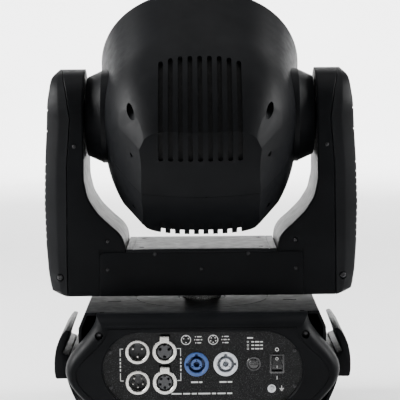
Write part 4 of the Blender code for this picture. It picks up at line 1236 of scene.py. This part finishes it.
def bar_plate(face):
    """The crossbar's end plate, with eased edges and screw wells."""
    top = PLATE_TOP
    corner = 6.0
    outline = ([(-PLATE_X + 1, YOKE_LOW), (PLATE_X - 1, YOKE_LOW), (PLATE_X, YOKE_LOW + 1)]
               + arc(PLATE_X - corner, top - corner, corner, 0, 90, 12)
               + arc(-PLATE_X + corner, top - corner, corner, 90, 180, 12) + [(-PLATE_X, YOKE_LOW + 1)])
    y0, y1 = sorted((face * YOKE_Y, face * (YOKE_Y - 1.2)))
    plate = eased_edges(prism(outline, y0, y1, "Y"), 0.3, 60)
    holes = [well_y(x, face, z, 2.3, 3) for x, z in PLATE_SCREWS]
    return cut(plate, gathered(*holes))


def bar_top():
    """The crossbar's cover: soft front and rear edges, two cut lines across it and screw wells."""
    z0 = low("crossbar_cover").z
    edge = [(-YOKE_Y, z0), (YOKE_Y, z0), (YOKE_Y, BAR_TOP - 1.5), (YOKE_Y - 0.5, BAR_TOP - 0.7),
            (YOKE_Y - 1.3, BAR_TOP - 0.15), (YOKE_Y - 2.4, BAR_TOP), (-YOKE_Y + 2.4, BAR_TOP),
            (-YOKE_Y + 1.3, BAR_TOP - 0.15), (-YOKE_Y + 0.5, BAR_TOP - 0.7), (-YOKE_Y, BAR_TOP - 1.5)]
    cover = prism(edge, -BAR_X + 0.2, BAR_X - 0.2, "X")
    lines = [block(x - 0.4, -90, BAR_TOP - 0.6, x + 0.4, 90, BAR_TOP + 3) for x in (-70, 70)]
    wells = [turned([(0, BAR_TOP - 1.4), (2.6, BAR_TOP - 1.4), (3.0, BAR_TOP + 3), (0, BAR_TOP + 3)],
                    "Z",
                    24, (x, y, 0)) for x in (-62, 62) for y in (-38, 38)]
    return cut(cover, gathered(*lines), gathered(*wells))


def bored_shaft():
    top = high("pan_shaft").z
    base = low("pan_shaft").z
    r = high("pan_shaft").x
    return turned([(14, base), (r - 0.4, base), (r, base + 0.4), (r, top - 6.4), (r - 0.5, top - 6.0),
                   (r - 0.5, top - 5.2), (r, top - 4.8), (r, top - 0.4), (r - 0.4, top), (14, top)],
                  "Z", 96)


class LIGHT_OT_yoke(bpy.types.Operator):
    """Yoke arms with their covers, the crossbar's plates and top, screws and the pan shaft"""
    bl_idname = "light.yoke"
    bl_label = "Yoke"

    def execute(self, context):
        pitch = context.scene.shape_sizes.rib_pitch / MM
        for name, side in (("left", -1), ("right", 1)):
            show(f"arm_casing_{name}", arm_frame(side), "yoke", finish("casing"),
                 [f"arm_frame_{name}"], 26)
            show(f"arm_side_{name}", arm_cover(side, pitch), "yoke", finish("cover"),
                 [f"arm_cover_{name}"], 26)
        show("bar_rear_sheet", bar_plate(-1), "yoke", finish("casing"),
             ["crossbar_rear_plate"])
        show("bar_front_sheet", bar_plate(1), "yoke", finish("casing"),
             ["crossbar_front_plate"])
        # the bar top's finish is the cover plastic painted lighter: painted highlight
        show("bar_top", bar_top(), "yoke", finish("bar"), ["crossbar_cover"])
        show("shaft_tube", bored_shaft(), "yoke", finish("steel"), ["pan_shaft"])
        small = [(x, z) for x, z in PLATE_SCREWS] + [(s * x, z) for s in (-1, 1) for x,
                                                     z in FRAME_SCREWS]
        groups = []
        for face in (-1, 1):
            groups.append(screw_heads([(x, face * (YOKE_Y - 0.2), z) for x, z in small], 1.9, "Y", face,
                                      1.4))
            groups.append(screw_heads([(s * COVER_SCREW[0], face * (YOKE_Y - 5.6), COVER_SCREW[1])
                                       for s in (-1, 1)], 3.2, "Y", face))
        groups.append(screw_heads([(x, y, BAR_TOP - 1.2) for x in (-62, 62) for y in (-38, 38)], 2.1,
                                  "Z",
                                  1, 0.4))
        show("yoke_screws", gathered(*groups), "yoke", finish("screw"))
        return {"FINISHED"}


# ----------------------------------------------------------------- head

SECTION_CORNERS = 112
SHELL_FRONT = 84.0
FRONT_Y = 92.5
WELLS = ((69.0, 68.0, -95.0, -58.0),)   # x, z and the run along the beam of the screw bosses
HUB_R = 49.0


def head_half(y, shrink, full, middle, rear, front):
    share, reach, power = rear if y < middle else front
    return full * (1 - share * (abs(y - middle) / reach) ** power) - shrink


def head_point(y, angle, shrink=0.0):
    """A corner of the head's section at y: round in front, squarer to the rear."""
    back = max(0.0, min(1.0, (FRONT_Y - y) / (FRONT_Y + 110)))
    power = 2.12 + 1.88 * back ** 2.2
    c = cos(angle)
    s = sin(angle)
    wide = head_half(y, shrink, 103.0, 0.0, (0.165, 80.0, 2.14), (-0.04, 84.0, 1.2))
    tall = head_half(y, shrink, 97.0, 10.0, (0.155, 90.0, 2.3), (-0.031, 74.0, 1.5))
    x = wide * abs(c) ** (2 / power) * (1 if c >= 0 else -1)
    z = tall * abs(s) ** (2 / power) * (1 if s >= 0 else -1)
    return x, z


def rear_depth(x, z, shrink=0.0):
    r = 130.0 - 7.0 * (x / 68.0) ** 2 - shrink
    return sqrt(max(0.0, r * r - z * z))


def head_solid(front, shrink=0.0, corners=SECTION_CORNERS):
    """The head's volume: sections from the front to the rear edge, then the rear face."""
    angles = [2 * pi * (i + 0.5) / corners for i in range(corners)]
    edge = []
    for angle in angles:
        y = -110.0
        for _ in range(14):
            x, z = head_point(y, angle, shrink)
            y = (y - rear_depth(x, z, shrink)) / 2
        edge.append((x, y, z))
    rings = []
    for i in range(22):
        share = 1 - (1 - i / 22) ** 1.15
        ring = []
        for angle, (_, y_end, _) in zip(angles, edge):
            y = front + (y_end - front) * share
            x, z = head_point(y, angle, shrink)
            ring.append((x, y, z))
        rings.append(ring)
    rings.append(edge)
    for share in (0.97, 0.9, 0.8, 0.68, 0.55, 0.4, 0.25, 0.1):
        rings.append([(x * share, -rear_depth(x * share, z * share, shrink), z * share)
                      for x, _, z in edge])
    return loft(rings)


def plane_cutter(a, b, c):
    """A large block that lies outside the plane through three points, away from the beam axis."""
    a, b, c = Vector(a), Vector(b), Vector(c)
    normal = (b - a).cross(c - a).normalized()
    if normal.dot(a) < 0:
        normal = -normal
    tool = block(-70, -70, 0, 70, 70, 60)
    turn = Vector((0, 0, 1)).rotation_difference(normal).to_matrix().to_4x4()
    bmesh.ops.transform(tool, matrix=Matrix.Translation((a + b + c) / 3) @ turn, verts=tool.verts)
    return tool


def slot_outline(end_drop):
    """An air slot's run from the flank over the rear edge, with round ends, as (y, z)."""
    top = -23.0 - end_drop
    return [(top, 125.0), (-150.0, 125.0), (-150.0, 49.9), (-112.0, 37.2), (-108.6, 36.3),
            (-105.5, 38.0),
            (-94.0, 50.0), (top - 2.0, 69.0), (top - 0.6, 70.2), (top, 72.0)]


def air_slot(x, width, end_drop):
    """A slot cutter whose ends are rounded by stepping its width in."""
    side = slot_outline(end_drop)
    half = width / 2
    rings = []
    for k in (-1.0, -0.92, -0.7, -0.35, 0.35, 0.7, 0.92, 1.0):
        pull = half * (1 - sqrt(max(0.0, 1 - k * k)))
        ring = []
        for y, z in side:
            near_front = y > -60
            inner = z < 60 and y > -115
            ring.append((x + half * k, y - (pull if near_front else 0),
                         z + (pull if not near_front and inner else 0)))
        rings.append(ring)
    return loft(rings)


def head_shell(sizes):
    """Upper half of the head's casing; the lower half is its mirror image."""
    facets = [plane_cutter((side * 55, -107.6, 62.6), (side * 66, -108.5, 46.5), (side * 70.2, -76,
                                                                                  69.4))
              for side in (-1, 1)]
    facets += [plane_cutter((side * 60, -125.6, 0), (side * 60, -114.8, 50), (side * 70.6, -108.5, 0))
               for side in (-1, 1)]
    big = 160.0
    other = block(-big, -big, -big, big, big, GAP / 2)
    hubs = turned([(0, -big), (HUB_R + 0.4, -big), (HUB_R + 0.4, big), (0, big)], "X", 96)
    bosses = [turned([(0, y0), (6.6, y0), (6.6, y1), (0, y1)], "Y", 28, (side * x, 0, z))
              for side in (-1, 1) for x, z, y0, y1 in WELLS]
    room = cut(head_solid(SHELL_FRONT + 20, WALL, 56), gathered(*bosses))
    shell = cut(head_solid(SHELL_FRONT), *facets, room, other, hubs)
    count = sizes.slot_count
    pitch = sizes.slot_pitch / MM
    width = sizes.slot_width / MM
    middle = (count - 1) / 2
    slots = [air_slot((i - middle) * pitch, width, 4.5 * max(0, abs(i - middle) - middle + 1.5) / 1.5)
             for i in range(count)]
    wells = [turned([(0, -140), (4.2, -140), (4.2, y1 - 4), (0, y1 - 4)], "Y", 28, (side * x, 0, z))
             for side in (-1, 1) for x, z, _, y1 in WELLS]
    return cut(shell, gathered(*slots), gathered(*wells))


def shade_behind_slots():
    """A near-black sheet behind the air slots, painted shade so that they read as deep and unlit."""
    outer = head_solid(SHELL_FRONT - 30, 4.4, 64)
    inner = head_solid(SHELL_FRONT + 20, 5.6, 64)
    sides = [block(side * 52, -160, -160, side * 170, 160, 160) for side in (-1, 1)]
    rear_duct = turned([(0, -140), (36, -140), (36, -92), (0, -92)], "Y", 48)
    return cut(outer, inner, gathered(*sides), rear_duct)


def hub_cone(side):
    """A tapered boss with a rolled edge, grooves, and the hollow tilt shaft."""
    profile = [(9, 90), (HUB_R, 90), (HUB_R, 101.6), (HUB_R - 0.3, 102.6), (HUB_R - 1.2, 103.6),
               (41.9, 116.6), (41.2, 117.8), (40.2, 118.4), (39.2, 118.6), (33, 118.6), (32.4, 117.6),
               (30.2, 117.6), (29.6, 118.6), (14, 118.6), (14, 125.1), (14, 135.6), (13.6, 136),
               (9, 136)]
    return turned([(r, side * x) for r, x in profile], "X", 96)


class LIGHT_OT_head_casing(bpy.types.Operator):
    """Head shells with their air slots and screw wells, the painted shade sheet behind the slots, and
    the hubs
    """
    bl_idname = "light.head_casing"
    bl_label = "Head casing"

    def execute(self, context):
        upper = head_shell(context.scene.shape_sizes)
        lower = flipped(upper.copy(), "Z")
        show("head_casing_upper", upper, "head", finish("casing"),
             ["head_shell_upper"], 24, HEAD_TURN)
        show("head_casing_lower", lower, "head", finish("casing"),
             ["head_shell_lower"], 24, HEAD_TURN)
        # a near-black sheet behind the air slots: painted shade
        show("slot_baffle", shade_behind_slots(), "head", finish("shade_sheet"), turn=HEAD_TURN)
        for name, side in (("left", -1), ("right", 1)):
            show(f"hub_cone_{name}", hub_cone(side), "head", finish("casing"),
                 [f"hub_{name}"], 24, HEAD_TURN)
        return {"FINISHED"}


# ---------------------------------------------------------------- optics

def lens_spots():
    yield 0.0, 0.0
    for i in range(6):
        yield 43 * cos(radians(60 * i)), 43 * sin(radians(60 * i))


def bezel_ring():
    """The front frame: it takes up the shell's outline and steps in round the glass."""
    rings = []
    for y, pull in ((84.3, 0.4), (84.7, 0.0), (86.6, 0.5), (87.1, 1.3), (88.0, 1.7), (89.4, 2.9),
                    (90.6, 4.6),
                    (91.5, 6.6), (92.1, 8.4), (FRONT_Y, 10.6)):
        corners = [head_point(y, 2 * pi * (i + 0.5) / SECTION_CORNERS, pull)
                   for i in range(SECTION_CORNERS)]
        rings.append([(x, y, z) for x, z in corners])
    throat = turned([(0, 80), (76, 80), (76, 90.4), (76.7, 91.2), (77.6, 91.5), (79.5, 91.6),
                     (80.3, 92.0),
                     (80.9, 93), (80.9, 100), (0, 100)], "Y", 128)
    wells = [turned([(0, 90.6), (1.8, 90.6), (2.1, 96), (0, 96)], "Y", 20,
                    (84.6 * cos(radians(22.5 + 45 * i)), 0, 84.6 * sin(radians(22.5 + 45 * i))))
             for i in range(8)]
    return cut(loft(rings), throat, gathered(*wells))


def front_pane():
    return turned([(0, 86.2), (75.2, 86.2), (75.6, 86.6), (75.6, 88.4), (75.0, 89.0), (0, 89.0)], "Y",
                  128)


def lens_face():
    """Seven domed lenses on one clear carrier, with a lug for the lead screw."""
    plate = turned([(0, 50.4), (67.4, 50.4), (68, 51), (68, 53.4), (67.4, 54), (0, 54)], "Y", 96)
    lug = eased_edges(block(-7, 50.5, -84, 7, 53.5, -60), 0.5)
    hole = turned([(0, 40), (3.2, 40), (3.2, 60), (0, 60)], "Y", 32, (0, 0, -76))
    carrier = cut(join(plate, lug), hole)
    lenses = []
    for x, z in lens_spots():
        profile = [(0, 54.02), (20.4, 54.02), (20.8, 55.4), (20.5, 57)]
        profile += [(20.5 * cos(radians(a)), 57 + 9.5 * sin(radians(a))) for a in (15, 30, 45, 60, 75)]
        profile.append((0, 66.5))
        lenses.append(turned(profile, "Y", 64, (x, 0, z)))
    return gathered(carrier, *lenses)


def emitters():
    """Round emitter packages with their lens domes, one under each lens."""
    packages, domes = [], []
    for x, z in lens_spots():
        packages.append(eased_edges(prism(rounded(x - 6, z - 6, x + 6, z + 6, 1.2), -2.0, -0.6, "Y"),
                                    0.3))
        packages.append(turned([(5.0, -0.6), (5.6, -0.6), (5.2, 0.4), (4.8, 0.4)], "Y", 40, (x, 0, z)))
        dome = [(0, -0.6)] + [(4.6 * cos(radians(a)), -0.6 + 2.8 * sin(radians(a))) for a in
                             (0, 18, 36, 54, 72)] + [(0, 2.2)]
        domes.append(turned(dome, "Y", 40, (x, 0, z)))
    return gathered(*packages), gathered(*domes)


def light_guides():
    """A flared mixing rod over each emitter."""
    rods = []
    for x, z in lens_spots():
        rods.append(turned([(5.4, 3.0), (6.2, 3.0), (12.2, 30), (12.2, 31.4), (11.2, 31.4), (11.2, 30)],
                           "Y", 48, (x, 0, z)))
    return gathered(*rods)


class LIGHT_OT_optics(bpy.types.Operator):
    """Front ring and glass, the zooming lens carrier, and the emitter board"""
    bl_idname = "light.optics"
    bl_label = "Optics"

    def execute(self, context):
        show("front_ring", bezel_ring(), "head", finish("cover"), ["front_bezel"],
             24, HEAD_TURN)
        ring_spots = [(84.6 * cos(radians(22.5 + 45 * i)), 90.8, 84.6 * sin(radians(22.5 + 45 * i)))
                      for i in range(8)]
        show("ring_screws", screw_heads(ring_spots, 1.5, "Y", 1), "head", finish("zinc"),
             turn=HEAD_TURN)
        show("front_pane", front_pane(), "head", finish("glass"), ["front_glass"], 24,
             HEAD_TURN)
        show("lens_face", lens_face(), "lens_array", finish("optic"), ["lens_array"], 24,
             HEAD_TURN)
        packages, domes = emitters()
        show("emitter_packages", packages, "head", finish("white"), turn=HEAD_TURN)
        show("emitter_domes", domes, "head", finish("emitter"), turn=HEAD_TURN)
        show("mixing_cups", light_guides(), "head", finish("zinc"), turn=HEAD_TURN)
        refinish("board", "led_board")
        refinish("alloy", "head_chassis", "heat_sink")
        return {"FINISHED"}


# -------------------------------------------------------------- workings

class LIGHT_OT_workings(bpy.types.Operator):
    """Finishes of the motors, belts, pulleys, fan, supply and trays that stay as built"""
    bl_idname = "light.workings"
    bl_label = "Workings"

    def execute(self, context):
        refinish("chassis", "base_tray", "crossbar")
        refinish("zinc", "power_supply", "pan_motor", "tilt_motor", "zoom_motor")
        refinish("alloy", "pan_pulley", "tilt_pulley")
        refinish("steel", "pan_pinion", "tilt_pinion", "zoom_screw")
        refinish("belt", "pan_belt", "tilt_belt")
        refinish("insert", "fan_frame", "fan_rotor")
        return {"FINISHED"}


# ----------------------------------------------------------------- stage

def lamp(name, at, aim, wide, tall, power):
    data = bpy.data.lights.new(name, "AREA")
    data.shape = "RECTANGLE"
    data.size = wide
    data.size_y = tall
    data.energy = power
    item = bpy.data.objects.new(name, data)
    bpy.context.scene.collection.objects.link(item)
    item.location = at
    item.rotation_euler = (Vector(aim) - Vector(at)).to_track_quat("-Z", "Y").to_euler()


def floor_finish():
    made = fresh("studio_floor", 0.55, specular=0.2)
    tree = made.node_tree
    wire(tree, colour=blend_of(tree, spread(tree, grain(tree, 300, 2), 0, 1), (0.93, 0.93, 0.93),
                               (0.95, 0.95, 0.95)),
         rough=spread(tree, grain(tree, 40, 3), 0.5, 0.6),
         normal=relief(tree, grain(tree, 3, 2), 0.03, 0.2))
    return made


class LIGHT_OT_stage(bpy.types.Operator):
    """Pale floor that sweeps up behind, soft lights and the camera"""
    bl_idname = "light.stage"
    bl_label = "Stage"

    def execute(self, context):
        setup = context.scene.studio_setup
        bm = turned([(0, 0), (3400, 0), (3900, 60), (4300, 220), (4600, 520), (4750, 900),
                     (4800, 1600), (4900, 1600), (4900, -80), (0, -80)], "Z", 96)
        bmesh.ops.scale(bm, verts=bm.verts, vec=(MM, MM, MM))
        floor = bare_object(bm, "studio_floor")
        floor.data.shade_smooth()
        floor.data.set_sharp_from_angle(angle=radians(60))
        floor.data.materials.append(floor_finish())
        middle = (0, 0, setup.aim_height)
        head_height = (0, 0, 0.30)
        lamp("left_softbox", (-1.45, 0.0, 0.95), head_height, 0.9, 0.8, setup.side_light)
        lamp("right_softbox", (1.45, 0.1, 0.95), head_height, 0.8, 0.8, setup.side_light * 0.6)
        lamp("top_softbox", (0, 0.2, 2.3), middle, 1.6, 1.6, setup.top_light)
        lamp("floor_wash", (0, 2.9, 1.9), (0, 3.3, 0), 3.4, 1.0, setup.backdrop_light)
        lamp("backdrop_wash", (0, 2.9, 1.5), (0, 4.8, 0.6), 3.4, 1.0, setup.backdrop_light)
        world = bpy.data.worlds.new("studio_air")
        world.use_nodes = True
        air = world.node_tree.nodes["Background"]
        air.inputs["Color"].default_value = (1, 1, 1, 1)
        air.inputs["Strength"].default_value = 0.40
        context.scene.world = world
        data = bpy.data.cameras.new("eye")
        data.lens = setup.lens
        camera = bpy.data.objects.new("eye", data)
        context.scene.collection.objects.link(camera)
        camera.location = (-0.001, -setup.eye_distance, setup.eye_height)
        sight = Vector((-0.001, 0, setup.aim_height)) - camera.location
        roll = Matrix.Rotation(radians(-0.55), 3, "Z")
        camera.rotation_euler = (sight.to_track_quat("-Z", "Y").to_matrix() @ roll).to_euler()
        context.scene.camera = camera
        return {"FINISHED"}


# -------------------------------------------------------------- interface

OPERATORS = (LIGHT_OT_stage, LIGHT_OT_base, LIGHT_OT_rear_panel, LIGHT_OT_sockets,
             LIGHT_OT_fuse_and_switch, LIGHT_OT_front_panel, LIGHT_OT_yoke, LIGHT_OT_head_casing,
             LIGHT_OT_optics, LIGHT_OT_workings)


class LIGHT_PT_panel(bpy.types.Panel):
    """The light's sizes, colours and build steps"""
    bl_label = "Moving Head Light"
    bl_idname = "LIGHT_PT_panel"
    bl_space_type = "VIEW_3D"
    bl_region_type = "UI"
    bl_category = "Light"

    def draw(self, context):
        column = self.layout.column()
        for group in (context.scene.casing_finishes, context.scene.shape_sizes,
                      context.scene.studio_setup):
            for key in group.__annotations__:
                column.prop(group, key)
        for operator in OPERATORS:
            column.operator(operator.bl_idname)


GROUPS = {"casing_finishes": CasingFinishes, "shape_sizes": ShapeSizes, "studio_setup": StudioSetup}


def register():
    for group in GROUPS.values():
        bpy.utils.register_class(group)
    for key, group in GROUPS.items():
        setattr(bpy.types.Scene, key, PointerProperty(type=group))
    for operator in OPERATORS:
        bpy.utils.register_class(operator)
    bpy.utils.register_class(LIGHT_PT_panel)


def unregister():
    bpy.utils.unregister_class(LIGHT_PT_panel)
    for operator in reversed(OPERATORS):
        bpy.utils.unregister_class(operator)
    for key in GROUPS:
        delattr(bpy.types.Scene, key)
    for group in reversed(list(GROUPS.values())):
        bpy.utils.unregister_class(group)


def main():
    register()
    for operator in OPERATORS:
        step = getattr(bpy.ops.light, operator.bl_idname.split(".")[1])
        if step() != {"FINISHED"}:
            raise RuntimeError(f"{operator.bl_label} did not finish")


if __name__ == "__main__":
    main()
